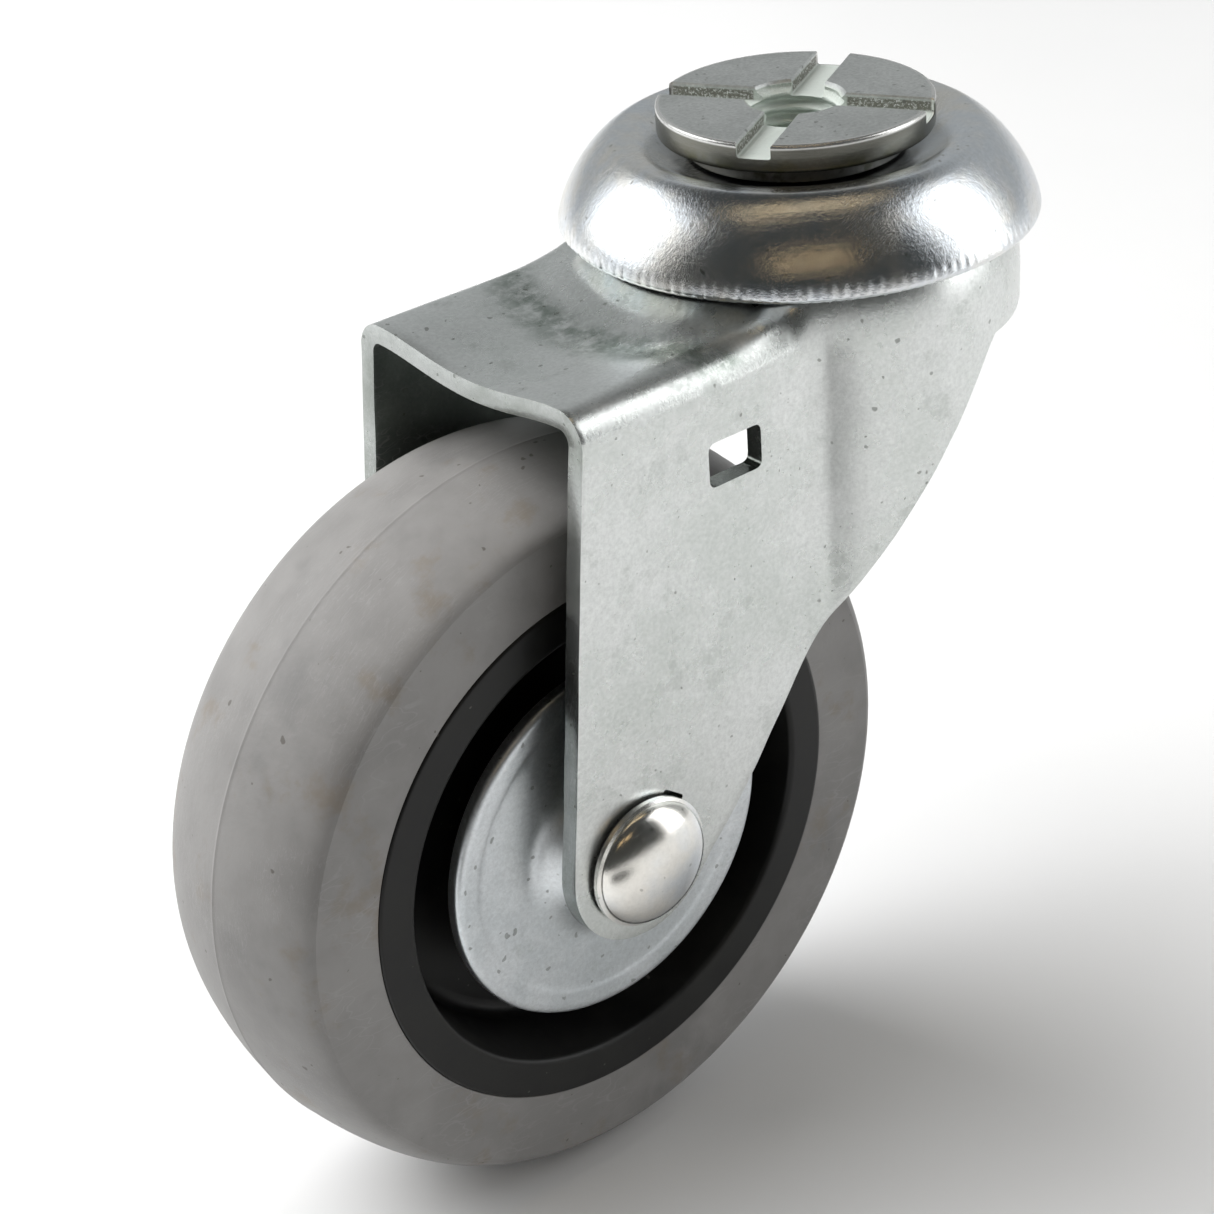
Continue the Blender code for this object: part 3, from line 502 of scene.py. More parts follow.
# %% Bright zinc of the cap and the axle
def bright_zinc(rough_base, grain_depth):
    """A finish for brightly plated parts: colour drifts from blue grey to straw, and rings of fine lines,
    a grain, light scratches and small specks break up the reflections."""
    def build(tree, where):
        tint = use(tree, clouds, Where=where, Scale=80.0)["Value"]
        ring = use(tree, rings, Where=where, Scale=1500.0)["Value"]
        scratch = use(tree, scratches, Where=where, Scale=210.0, Width=0.008)["Mask"]
        speck = use(tree, specks, Where=where, Scale=1500.0, Rarity=0.86, Size=0.36)["Mask"]
        grain = noise(tree, where, 2100.0, 4.0, 0.8)
        colour = blend_colour(tree, tint, (0.73, 0.77, 0.81), (0.83, 0.81, 0.76))
        colour = grained(tree, colour, grain, 0.4)
        colour = cover(tree, colour, scratch, 0.3, (0.92, 0.93, 0.93))
        colour = cover(tree, colour, speck, 0.45, (0.2, 0.2, 0.17))
        rough = maths(tree, "MULTIPLY_ADD", tint, 0.07, rough_base)
        rough = maths(tree, "MULTIPLY_ADD", scratch, 0.10, rough)
        mixed = maths(tree, "MULTIPLY_ADD", ring, 0.35, grain)
        return {"Base Color": colour, "Roughness": rough, "Height": mixed, "Depth": grain_depth}
    return build


zinc_of_cap = finish("bright_zinc_of_cap", 1.0, bright_zinc(0.165, 0.034 * MM))
zinc_of_axle = finish("bright_zinc_of_axle", 1.0, bright_zinc(0.12, 0.01 * MM))
print("bright zinc:", zinc_of_cap.name, zinc_of_axle.name)


# %% [markdown]
# ## Turned steel
# The king pin's faces are matt from tumbling, its rim is bright where the tool passed last, its slots hold
# grit and its bore is bare. A painted image could say where each of these lies. Here radius and depth say
# it, which follows the pin's own sizes and stays sharp at any distance.

# %% Turned steel of the king pin
HEAD_THICKNESS = 2.9
SLOT_DEPTH = 1.5
BARE_TO_R = (5.35, 5.1)
SHADE_UNDER_HEAD_FROM_R = (5.6, 6.4)


def turned_steel(tree, where):
    """Matt grey faces with a fine grain; a bright turned edge; slot walls full of grit; a bare bore and bare
    slot floors; painted shade under the head; a side painted dark as shade, with green-brown stains low on
    it."""
    ring = use(tree, rings, Where=where, Scale=2600.0)
    height = put(tree, "SeparateXYZ", where).outputs[2]

    def deep(start, stop):
        """A mask that grows from 0 to 1 between two depths below the top face."""
        return band(tree, height, -start * MM, -stop * MM)

    def out(start, stop):
        """A mask that grows from 0 to 1 between two radii."""
        return band(tree, ring["Radius"], start * MM, stop * MM)

    grain = noise(tree, where, 2400.0, 4.0, 0.7)
    cloud = use(tree, clouds, Where=where, Scale=120.0)["Value"]
    speck = use(tree, specks, Where=where, Scale=1500.0, Rarity=0.85, Size=0.40)["Mask"]
    grit = band(tree, noise(tree, where, 3600.0, 3.0, 0.8), 0.50, 0.62)
    edge = out(HEAD_R - 0.6, HEAD_R - 0.25)
    slot_walls = both(tree, deep(0.25, 0.45), deep(SLOT_DEPTH - 0.05, SLOT_DEPTH - 0.25))
    in_slot = both(tree, slot_walls, out(HEAD_R - 0.25, HEAD_R - 0.5))
    reached = deep(SLOT_DEPTH - 0.3, SLOT_DEPTH - 0.05)
    not_passed = deep(SLOT_DEPTH + 0.3, SLOT_DEPTH + 0.1)
    slot_floor = both(tree, both(tree, reached, not_passed), out(HEAD_R - 0.05, HEAD_R - 0.15))
    bare = maths(tree, "MAXIMUM", both(tree, out(*BARE_TO_R), deep(0.1, 0.5)), slot_floor)
    # Painted shadow: below the head and on the shoulder, where the head's shadow falls.
    under = both(tree, deep(HEAD_THICKNESS - 0.1, HEAD_THICKNESS + 0.2), out(*SHADE_UNDER_HEAD_FROM_R))
    # Painted shade: the head's side is made dark grey in the colour for its dim look under this light; the
    # stains on it are real.
    side = both(tree, deep(0.35, 0.6), out(HEAD_R - 0.2, HEAD_R - 0.1))
    stain = both(tree, band(tree, noise(tree, where, 260.0, 4.0, 0.7), 0.50, 0.62), deep(1.2, 2.6))
    colour = blend_colour(tree, cloud, (0.56, 0.58, 0.57), (0.66, 0.68, 0.67))
    colour = grained(tree, colour, grain, 0.7)
    colour = blend_colour(tree, edge, colour, (0.72, 0.72, 0.70))
    # Painted shade on the head's side.
    colour = blend_colour(tree, side, colour, (0.16, 0.16, 0.14))
    gritty = blend_colour(tree, grit, (0.13, 0.12, 0.09), (0.80, 0.81, 0.80))
    colour = cover(tree, colour, in_slot, 0.8, gritty)
    colour = cover(tree, colour, speck, 0.5, (0.14, 0.14, 0.13))
    colour = cover(tree, colour, stain, 0.7, (0.10, 0.10, 0.05))
    # Painted shadow under the head: near black, standing in for the shade cast by the head.
    colour = cover(tree, colour, under, 0.85, (0.035, 0.033, 0.025))
    colour = cover(tree, colour, bare, 0.8, (0.66, 0.72, 0.67))
    bumps = maths(tree, "MULTIPLY_ADD", ring["Value"], 0.5, maths(tree, "MULTIPLY_ADD", in_slot, grit, grain))
    return {"Base Color": colour, "Roughness": maths(tree, "MULTIPLY_ADD", edge, -0.22, 0.46),
            "Metallic": maths(tree, "MULTIPLY_ADD", bare, -0.6, 0.92), "Height": bumps, "Depth": 0.02 * MM}


steel_of_pin = finish("turned_steel_of_pin", 0.92, turned_steel)
print("turned steel:", len(steel_of_pin.node_tree.nodes), "nodes")

# %% [markdown]
# ## Steel inside the castor
# The axle tube is plain drawn steel with a film of oil. The balls are polished and dulled by grease in
# patches. Both are hardly seen, so a few nodes are enough.

# %% Drawn steel and ball steel
def tube_steel(tree, where):
    """Drawn steel tube: plain grey with fine rings and a film of oil."""
    ring = use(tree, rings, Where=where, Scale=1800.0)["Value"]
    cloud = use(tree, clouds, Where=where, Scale=150.0)["Value"]
    colour = blend_colour(tree, cloud, (0.42, 0.42, 0.40), (0.56, 0.56, 0.55))
    rough = maths(tree, "MULTIPLY_ADD", cloud, 0.12, 0.26)
    return {"Base Color": colour, "Roughness": rough, "Height": ring, "Depth": 0.01 * MM}


def ball_steel(tree, where):
    """Polished ball steel with a film of grease that dulls it in patches."""
    grease = use(tree, clouds, Where=where, Scale=300.0)["Value"]
    colour = blend_colour(tree, grease, (0.70, 0.70, 0.71), (0.50, 0.47, 0.38))
    return {"Base Color": colour, "Roughness": maths(tree, "MULTIPLY_ADD", grease, 0.18, 0.07)}


steel_of_tube = finish("drawn_steel_of_tube", 1.0, tube_steel)
steel_of_balls = finish("ball_steel_of_rings", 1.0, ball_steel)
print("inner steels:", steel_of_tube.name, steel_of_balls.name)

# %% [markdown]
# ## Rubber and plastics
# The tyre is grey rubber: not metallic, fairly rough, with smudges from handling and brown stains where it
# has rolled. The hub is black nylon with the faint skin of a moulding. The small bushes are white acetal.

# %% Grey rubber, black nylon, white acetal
def grey_rubber(tree, where):
    """Warm grey clouds, broad dark smudges, brownish stains and small light scuffs over a fine grain."""
    cloud = use(tree, clouds, Where=where, Scale=50.0)["Value"]
    stain = band(tree, noise(tree, where, 130.0, 5.0, 0.65), 0.56, 0.70)
    smudge = band(tree, noise(tree, where, 75.0, 4.0, 0.6), 0.52, 0.68)
    scuff = use(tree, scratches, Where=where, Scale=90.0, Width=0.008)["Mask"]
    speck = use(tree, specks, Where=where, Scale=1000.0, Rarity=0.93, Size=0.34)["Mask"]
    colour = blend_colour(tree, cloud, (0.200, 0.195, 0.190), (0.250, 0.244, 0.238))
    colour = cover(tree, colour, smudge, 0.45, (0.135, 0.134, 0.132))
    colour = cover(tree, colour, stain, 0.5, (0.19, 0.155, 0.115))
    colour = cover(tree, colour, scuff, 0.30, (0.36, 0.355, 0.35))
    colour = cover(tree, colour, speck, 0.7, (0.07, 0.06, 0.05))
    rough = maths(tree, "MULTIPLY_ADD", smudge, -0.08, 0.46)
    height = maths(tree, "MULTIPLY_ADD", scuff, -0.25, noise(tree, where, 1500.0, 3.0))
    return {"Base Color": colour, "Roughness": rough, "Height": height, "Depth": 0.03 * MM}


rubber_of_tyre = finish("grey_rubber_of_tyre", 0.0, grey_rubber)


def black_nylon(tree, where):
    """Near-black with grey dust in its clouds and a faint orange-peel skin."""
    cloud = use(tree, clouds, Where=where, Scale=90.0)["Value"]
    dust = use(tree, specks, Where=where, Scale=800.0, Rarity=0.88, Size=0.25)["Mask"]
    colour = blend_colour(tree, cloud, (0.006, 0.006, 0.006), (0.012, 0.012, 0.011))
    colour = cover(tree, colour, dust, 0.5, (0.14, 0.135, 0.12))
    rough = maths(tree, "MULTIPLY_ADD", cloud, 0.12, 0.36)
    return {"Base Color": colour, "Roughness": rough, "Specular IOR Level": 0.32,
            "Height": noise(tree, where, 1300.0, 2.0), "Depth": 0.01 * MM}


nylon_of_hub = finish("black_nylon_of_hub", 0.0, black_nylon)


def white_acetal(tree, where):
    """Slightly yellow white with grease in patches."""
    grease = use(tree, clouds, Where=where, Scale=200.0)["Value"]
    colour = blend_colour(tree, grease, (0.76, 0.75, 0.70), (0.56, 0.52, 0.42))
    rough = maths(tree, "MULTIPLY_ADD", grease, -0.12, 0.42)
    return {"Base Color": colour, "Roughness": rough,
            "Height": noise(tree, where, 900.0, 2.0), "Depth": 0.01 * MM}


acetal_of_bushes = finish("white_acetal_of_bushes", 0.0, white_acetal)
print("soft finishes:", [m.name for m in (rubber_of_tyre, nylon_of_hub, acetal_of_bushes)])

# %% [markdown]
# ## The king pin
# The pin is turned from bar: a flat head, a shoulder that sits in the cap, a shank that the balls run
# round, and a foot that is peened over below. An M10 thread runs right through it, and two crossed slots
# are sawn in the head. The thread is a ripple of the bore's radius that climbs one pitch a turn.

# %% King pin
BORE_R = 4.3
MOUTH_R = 5.2
THREAD_DEPTH = 0.66
THREAD_PITCH = 1.5
SHANK_R = 8.0
SHOULDER_R = 11.2
SHOULDER_Z = -4.9
PEEN_Z = pin_low[2] + 1.8
PEEN_R = 9.7
FOOT_MOUTH_R = MOUTH_R - 0.3
BORE_ROWS = 150
PIN_STEPS = 144


def thread_height(height, turn, pitch):
    """1 at a thread's root and 0 at its crest: a flattened triangle of height / pitch - angle / 2 pi."""
    phase = np.mod(height / pitch - turn / (2 * np.pi), 1.0)
    return np.clip((1 - np.abs(2 * phase - 1)) * 1.5 - 0.25, 0.0, 1.0)


def bore_thread(radius, height, turn):
    """The bore's rows move out by the thread, and both its ends open into a 45 degree mouth."""
    in_bore = radius < BORE_R + 1e-6
    cut = BORE_R + THREAD_DEPTH * thread_height(height, turn, THREAD_PITCH)
    mouth = np.maximum(MOUTH_R + height, FOOT_MOUTH_R - (height - pin_low[2]))
    return np.where(in_bore, np.maximum(cut, mouth), radius), height


pin_outline = rounded([
    (MOUTH_R, 0, 0.08), (HEAD_R, 0, 0.38),
    (HEAD_R, -HEAD_THICKNESS, 0.38), (SHOULDER_R, -HEAD_THICKNESS, 0.1),
    (SHOULDER_R, SHOULDER_Z, 0.1), (SHANK_R, SHOULDER_Z, 0.15),
    (SHANK_R, PEEN_Z, 0.15), (PEEN_R, PEEN_Z, 0.3),
    (PEEN_R - 0.3, pin_low[2], 1.2), (FOOT_MOUTH_R, pin_low[2], 0.1)], closed=False)
bore_rows = np.linspace(pin_low[2] + 0.02, -0.02, BORE_ROWS)
pin_profile = np.concatenate([pin_outline, np.column_stack([np.full(BORE_ROWS, BORE_R), bore_rows])])
king_pin = turned("king_pin_turned", pin_profile, steps=PIN_STEPS, ripple=bore_thread)
print("bore:", BORE_ROWS, "rows, thread pitch", THREAD_PITCH, "mm")

# %% [markdown]
# ## Slots in the head
# The two slots are sawn across the head, so they are cut here too: a bar with the saw's section is drawn
# through the head in each direction and taken away with an exact Boolean. The bar widens above the face,
# which breaks the slot's sharp edges as a deburring wheel does.

# %% Slots in the head
SLOT_HALF = 1.75
SLOT_DIRECTION = math.radians(29.5)
EDGE_BREAK = 0.16
BREAK_TOP = 0.44
slot_outline = rounded([
    (-SLOT_HALF, -SLOT_DEPTH, 0.3), (SLOT_HALF, -SLOT_DEPTH, 0.3), (SLOT_HALF, -EDGE_BREAK, 0),
    (SLOT_HALF + EDGE_BREAK + BREAK_TOP, BREAK_TOP, 0), (-SLOT_HALF - EDGE_BREAK - BREAK_TOP, BREAK_TOP, 0),
    (-SLOT_HALF, -EDGE_BREAK, 0)])
slots = []
for n, direction in enumerate((SLOT_DIRECTION, SLOT_DIRECTION + math.pi / 2)):
    laid = Matrix.Rotation(direction, 4, "Z")
    slots.append(prism(f"slot_{n}", slot_outline, (-HEAD_R - 1, HEAD_R + 1), laid))
carve(king_pin, slots)
fit_out(king_pin, "king_pin", "head", "turned_steel", steel_of_pin)

# %% [markdown]
# ## The cap
# The cap is pressed from 1 mm sheet and plated bright. It sits on the upper balls, dips to its seat
# under the pin's head and falls in a full dome to a rim that is crimped inwards, which leaves a row of
# tiny ribs. The dome is a superellipse: the radius grows with sin^(2/n) and the height falls with cos^(2/n).
# The ribs could be a bump in the finish, but they break the rim's outline, so they are in the mesh.

# %% Cap
CAP_SEAT_R = 12.3
CAP_SEAT_Z = -5.2
CROWN_R = 18.5
CROWN_Z = -3.1
WIDEST_Z = -11.5
DOME_POWER = 1.42
CAP_SHEET = 1.0
CAP_HOLE_R = 8.4
DIP_RISE = 4.9
RIM_FOOT_R = 22.85
RIBS = 132
STEPS_A_RIB = 6
dip_r = np.linspace(CAP_SEAT_R, CROWN_R, 18)
dip_share = smooth_step((dip_r - CAP_SEAT_R) / DIP_RISE)
dip = np.column_stack([dip_r, CAP_SEAT_Z + (CROWN_Z - CAP_SEAT_Z) * dip_share])
turn = np.linspace(0, math.pi / 2, 32)[1:]
dome = np.column_stack([CROWN_R + (CAP_R - CROWN_R) * np.sin(turn) ** (2 / DOME_POWER),
                        WIDEST_Z + (CROWN_Z - WIDEST_Z) * np.maximum(np.cos(turn), 0) ** (2 / DOME_POWER)])
share = np.linspace(0, 1, 9)[1:]
crimp = np.column_stack([CAP_R - (CAP_R - RIM_FOOT_R) * share ** 2,
                         WIDEST_Z + (cap_low[2] - WIDEST_Z) * share])
seat = [(CAP_HOLE_R, CAP_SEAT_Z), (11.0, CAP_SEAT_Z)]
cap_outer = np.concatenate([seat, dip, dome, crimp])
slope = np.gradient(cap_outer, axis=0)
slope /= np.linalg.norm(slope, axis=1, keepdims=True)
cap_inner = (cap_outer + CAP_SHEET * np.column_stack([slope[:, 1], -slope[:, 0]]))[:-1:2]
cap_inner = cap_inner[cap_inner[:, 1] > cap_low[2] + 0.4]


def crimp_ribs(radius, height, turn):
    """Low on the skin it ripples in, RIBS times round, by a depth that changes slowly round the cap."""
    low = smooth_step((WIDEST_Z + 1.7 - height) / 1.6) * smooth_step((height - cap_low[2]) / 0.3 + 0.3)
    depth = 0.085 + 0.05 * np.sin(29 * turn + 1.3) * np.sin(17 * turn + 0.5) + 0.025 * np.sin(5 * turn)
    skin = smooth_step((radius - CAP_R + 2.0) / 0.6)
    return radius - depth * low * skin * (0.5 + 0.5 * np.cos(RIBS * turn)) ** 3, height


cap_profile = np.concatenate([cap_outer, cap_inner[::-1]])
cap = turned("cap_pressed", cap_profile, steps=STEPS_A_RIB * RIBS, ripple=crimp_ribs)
fit_out(cap, "head_cap", "head", "bright_zinc", zinc_of_cap)

# %% [markdown]
# ## The fork
# One blank of 2 mm sheet is pressed into the whole fork: a round neck with a groove for the balls, a web
# that sags between its bends, and two legs that taper to the axle. Its skin is two grids that meet: rays
# from the swivel axis out to the bends, and then lines that run over the bends and down the walls.
# Solidify gives it the sheet's thickness. Modelling it by hand from a cube with a subdivision surface
# would be quicker, but two grids keep every bend at its true radius and every hole in its place.

# %% Fork sizes
WEB_Z = -14.65
WEB_SAG = 1.4
WEB_SAG_HALF = 13.95
NECK_R = 22.6
NECK_BEND = 4.0
NECK_FILLET = 6.0
NECK_FLARE = 2.4
FLANK_HEIGHT = 0.85
HOLLOW_DEPTH = 0.35
NECK_TOP_Z = -9.01
LEG_BEND = 3.2
WALL_Z = -18.0
SKIRT_Z = -21.5
BOSS_R = 8.95
BALL_PITCH_R = 17.2
GROOVE_R = 2.68
GROOVE_Z = -6.78
FORK_HOLE_R = 8.7
KINK = np.array([AXLE[0] + 17.6, AXLE[2] + 6.84])
REAR_SLOPE = math.tan(math.radians(52.8))


def fork_top(x, y):
    """Height of the upper face: the web, less a sag (1 - (y/a)^2)^2, plus the neck, whose height dies
    away with distance as exp(-d / flare), a flank and a hollow at its foot, cut by the balls' groove."""
    radius = np.hypot(x, y)
    run = np.hypot(np.maximum(radius - (NECK_R - NECK_BEND), 0), 0.6) - 0.6
    neck = np.exp(-run / NECK_FLARE)
    middle = 1 - smooth_step((np.abs(y) - 8.5) / 5.0)
    ramp = (FLANK_HEIGHT * (0.25 + 0.75 * middle) * smooth_step((29.8 - radius) / 5.4) * (1 - neck)
            - HOLLOW_DEPTH * middle * np.exp(-((radius - 31.0) / 2.4) ** 2))
    across = np.minimum(np.abs(y) / WEB_SAG_HALF, 1.0)
    share = 0.4 + 0.6 * smooth_step((-x - NECK_R) / (FORK_FRONT - NECK_R))
    level = WEB_Z + ramp - WEB_SAG * (1 - across ** 2) ** 2 * share * (1 - neck) + (NECK_TOP_Z - WEB_Z) * neck
    aside = np.minimum(np.abs(radius - BALL_PITCH_R), GROOVE_R)
    groove = GROOVE_Z - np.sqrt(GROOVE_R ** 2 - aside ** 2)
    return np.where(aside < GROOVE_R, np.minimum(level, groove), level)


def rear_edge(x):
    """Height of the rear edge: one slope from the kink, then the level skirt behind the neck."""
    return np.minimum(KINK[1] + (x - KINK[0]) * REAR_SLOPE, SKIRT_Z)


print("web at x -35: middle", fork_top(-35.0, 0.0).round(2), "side", fork_top(-35.0, 13.0).round(2))

# %% [markdown]
# ## The fork's outline
# Seen from above, the bent walls follow one path: along a leg, through a fillet, round the neck and back
# along the other leg. Every station of the path knows its outward direction, its bend radius and where its
# wall ends below, so one half is worked out and then mirrored.

# %% Fork outline
def leg_foot(count):
    """The leg's lower edge from its front corner's line, round the boss and up to the fillet: x and z."""
    centre = np.array([AXLE[0], AXLE[2]])

    def touch(point, side):
        """Angle on the boss where a straight edge from a point touches it."""
        away = np.array(point) - centre
        return math.atan2(away[1], away[0]) + side * math.acos(BOSS_R / np.hypot(*away))

    front, rear = touch((-FORK_FRONT, WALL_Z), 1), touch(KINK, -1) % (2 * math.pi)
    turn = np.linspace(front, rear + (2 * math.pi if rear < front else 0), count // 2)
    boss = centre + BOSS_R * np.column_stack([np.cos(turn), np.sin(turn)])
    below = np.linspace(boss[-1], KINK, count // 8)[1:]
    below += np.outer(0.35 * np.sin(np.linspace(0, np.pi, len(below))), (0.72, -0.69))
    x = np.linspace(KINK[0], FILLET_X, count - len(boss) - len(below) + 1)[1:]
    return np.concatenate([boss, below, np.column_stack([x, rear_edge(x)])])


FILLET_X = -math.sqrt((NECK_R + NECK_FILLET) ** 2 - (LEG_OUTER + NECK_FILLET) ** 2)
LEG_STATIONS = 48
feet = leg_foot(LEG_STATIONS)
leg_x = np.linspace(-FORK_FRONT, FILLET_X, LEG_STATIONS)
centre = np.array([FILLET_X, -(LEG_OUTER + NECK_FILLET)])
bend_turn = np.linspace(math.pi / 2, math.atan2(-centre[1], -centre[0]), 10)[1:]
neck_turn = np.linspace(math.atan2(centre[1], centre[0]), 0.0, 40)[1:]
run_out = centre + NECK_FILLET * np.column_stack([np.cos(bend_turn), np.sin(bend_turn)])
circle = NECK_R * np.column_stack([np.cos(neck_turn), np.sin(neck_turn)])
half_path = np.concatenate([np.column_stack([leg_x, np.full(LEG_STATIONS, -LEG_OUTER)]), run_out, circle])
half_out = np.concatenate([np.tile((0.0, -1.0), (LEG_STATIONS, 1)),
                           -np.column_stack([np.cos(bend_turn), np.sin(bend_turn)]), circle / NECK_R])
half_bend = np.full(len(half_path), NECK_BEND)
half_bend[:LEG_STATIONS] = LEG_BEND + (NECK_BEND - LEG_BEND) * smooth_step(np.linspace(0, 1, LEG_STATIONS))
half_foot = np.column_stack([half_path, rear_edge(half_path[:, 0])])
half_foot[:LEG_STATIONS, 0], half_foot[:LEG_STATIONS, 2] = feet[:, 0], feet[:, 1]
flip = np.array([1.0, -1.0])
path = np.concatenate([half_path, half_path[-2::-1] * flip])
outward = np.concatenate([half_out, half_out[-2::-1] * flip])
bend = np.concatenate([half_bend, half_bend[-2::-1]])
foot = np.concatenate([half_foot, half_foot[-2::-1] * np.array([1.0, -1.0, 1.0])])
print("fork outline:", len(path), "stations, fillet from x", round(FILLET_X, 2))

# %% [markdown]
# ## The fork's skin
# The plate's rays end where the bends begin, and the bends' first row is the same row of points, so the
# two grids close on each other when doubles are merged. Solidify then gives the inner face and the cut
# edges finishes of their own: the inner face is much darker, a painted shade for the dim inside of the
# channel, and a sheared edge doesn't look like the outside.

# %% Fork skin
NECK_FLAT_R = 18.5
inset = path - outward * bend[:, None]
front_y = np.linspace(inset[-1, 1], inset[0, 1], 30)[1:-1]
loop = np.concatenate([inset, np.column_stack([np.full(len(front_y), -FORK_FRONT), front_y])])
far = np.hypot(*loop.T)
circles = np.concatenate([np.linspace(FORK_HOLE_R, BALL_PITCH_R - 1.6, 8),
                          np.linspace(BALL_PITCH_R - 1.45, NECK_FLAT_R, 16)])
shares = np.linspace(0, 1, 26)[1:, None] ** 1.5
radii = np.concatenate([np.tile(circles[:, None], len(loop)), circles[-1] + shares * (far - circles[-1])])
plate_x, plate_y = loop[:, 0] / far * radii, loop[:, 1] / far * radii
plate = np.stack([plate_x, plate_y, fork_top(plate_x, plate_y)], axis=-1)
turn = np.linspace(0, math.pi / 2, 13)[:, None]
inward = bend * (1 - np.sin(turn))
bends = np.stack([path[:, 0] - outward[:, 0] * inward, path[:, 1] - outward[:, 1] * inward,
                  WALL_Z + (plate[-1, :len(path), 2] - WALL_Z) * np.cos(turn)], axis=-1)
down = np.linspace(0, 1, 37)[1:, None, None]
walls = bends[-1] + (foot - bends[-1]) * down
sides = np.concatenate([bends, walls])


def press_marks(points):
    """The sheet isn't quite flat: a shallow dish round each axle hole and slow waves of a few hundredths."""
    x, y, z = points[..., 0], points[..., 1], points[..., 2]
    on_leg = smooth_step((np.abs(y) - LEG_OUTER + 0.4) / 0.3) * smooth_step((WALL_Z - z) / 6)
    dish = 0.12 * np.exp(-((x - AXLE[0]) ** 2 + (z - AXLE[2]) ** 2) / 80.0)
    wave = 0.035 * np.sin(x * 0.31 + 0.7) * np.sin(z * 0.23 + 0.4) + 0.02 * np.sin(x * 0.9 + z * 0.5)
    moved = points.copy()
    moved[..., 1] -= np.sign(y) * on_leg * (dish + 0.04 + wave)
    return moved


plate_faces = grid_faces(*plate.shape[:2], wrap_columns=True)
side_faces = grid_faces(*sides.shape[:2]) + plate.shape[0] * plate.shape[1]
skin_points = np.concatenate([plate.reshape(-1, 3), press_marks(sides).reshape(-1, 3)])
skin = mesh_of("fork_pressed", skin_points, np.concatenate([plate_faces, side_faces]).tolist())
highest = max(skin.polygons, key=lambda face: face.center.z)
if highest.normal.z < 0:
    skin.flip_normals()
fork = piece_of("fork_pressed", skin)
for material in (zinc_of_fork, inner_zinc_painted_shade, zinc_of_cuts):
    skin.materials.append(material)
wall = fork.modifiers.new("sheet", "SOLIDIFY")
wall.thickness, wall.offset = SHEET * MM, -1.0
wall.use_even_offset, wall.use_quality_normals = True, True
# The inner face takes the second finish, which is darkened as painted shade, and the rim takes the cut-edge
# finish.
wall.material_offset, wall.material_offset_rim = 1, 2
edge = fork.modifiers.new("edges", "BEVEL")
edge.width, edge.segments, edge.limit_method = 0.28 * MM, 2, "ANGLE"
edge.angle_limit = math.radians(55)
settle(fork)
print("fork sheet:", len(fork.data.polygons), "faces before its holes")

# %% [markdown]
# ## Holes in the fork
# Each leg has a window and a hole for the axle, and the left hole has a notch that keeps the bolt from
# turning. The press punches them, so they are cut with bars that carry the cut edge's finish with them.

# %% Fork holes
WINDOW_CENTRE = (-25.2, -25.2)
WINDOW_HALF = (3.4, 2.35)
NIB_DIRECTION = math.radians(53)
AXLE_HOLE_R = 4.3
THROUGH = (-25, 25)
CUT_EDGE = 2
(window_x, window_z), (wide, high) = WINDOW_CENTRE, WINDOW_HALF
window = rounded([(window_x - wide, window_z - high, 0.9), (window_x + wide, window_z - high, 0.9),
                  (window_x + wide, window_z + high, 0.9), (window_x - wide, window_z + high, 0.9)])
turn = np.linspace(0, 2 * np.pi, 64, endpoint=False)
axle_hole = np.column_stack([AXLE[0] + AXLE_HOLE_R * np.cos(turn), AXLE[2] + AXLE_HOLE_R * np.sin(turn)])
nib_place = Matrix.Translation(Vector(AXLE)) @ Matrix.Rotation(-NIB_DIRECTION, 4, "Y")
nib_slot = rounded([(0, -1.5, 0), (7.3, -1.5, 0.4), (7.3, 1.5, 0.4), (0, 1.5, 0)])
fork_tools = [prism("window_tool", window, THROUGH), prism("hole_tool", axle_hole, THROUGH),
              prism("nib_tool", nib_slot, (-25, -8), nib_place)]
for tool in fork_tools:
    for material in fork.data.materials:
        tool.data.materials.append(material)
    tool.data.polygons.foreach_set("material_index", [CUT_EDGE] * len(tool.data.polygons))
carve(fork, fork_tools)
fit_out(fork, "fork", "fork_body", "zinc_sheet")

# %% [markdown]
# ## The wheel
# The tyre is moulded on the hub and its inner rib locks in the hub's groove. Its tread is crowned: the
# radius falls from the middle as a superellipse, and the mould's joint leaves a hair of rubber round the
# middle. Points crowd at the joint and at the shoulders, where the curve needs them, because sin of an
# even angle spaces them so.

# %% Tyre
TREAD_HALF = 12.05
SHOULDER_R_TYRE = WHEEL_R - 3.85
CROWN_POWER = 1.42
CROWN_DROP = 0.09
FLASH_HEIGHT = 0.06
FLASH_HALF = 0.16
across = np.sort(np.concatenate([np.sin(np.linspace(-math.pi / 2, math.pi / 2, 57)[1:-1]),
                                 [-0.03, -0.015, -0.006, 0.006, 0.015, 0.03]]))
rise = (WHEEL_R - CROWN_DROP - SHOULDER_R_TYRE) * np.sqrt(1 - np.abs(across) ** CROWN_POWER)
flash = FLASH_HEIGHT * np.exp(-(across * TREAD_HALF / FLASH_HALF) ** 2)
tread = np.column_stack([SHOULDER_R_TYRE + rise + flash, TREAD_HALF * across])
INNER_R = HUB_R + 0.03
RIB_HALF = 3.5
RIB_R = INNER_R - 1.3
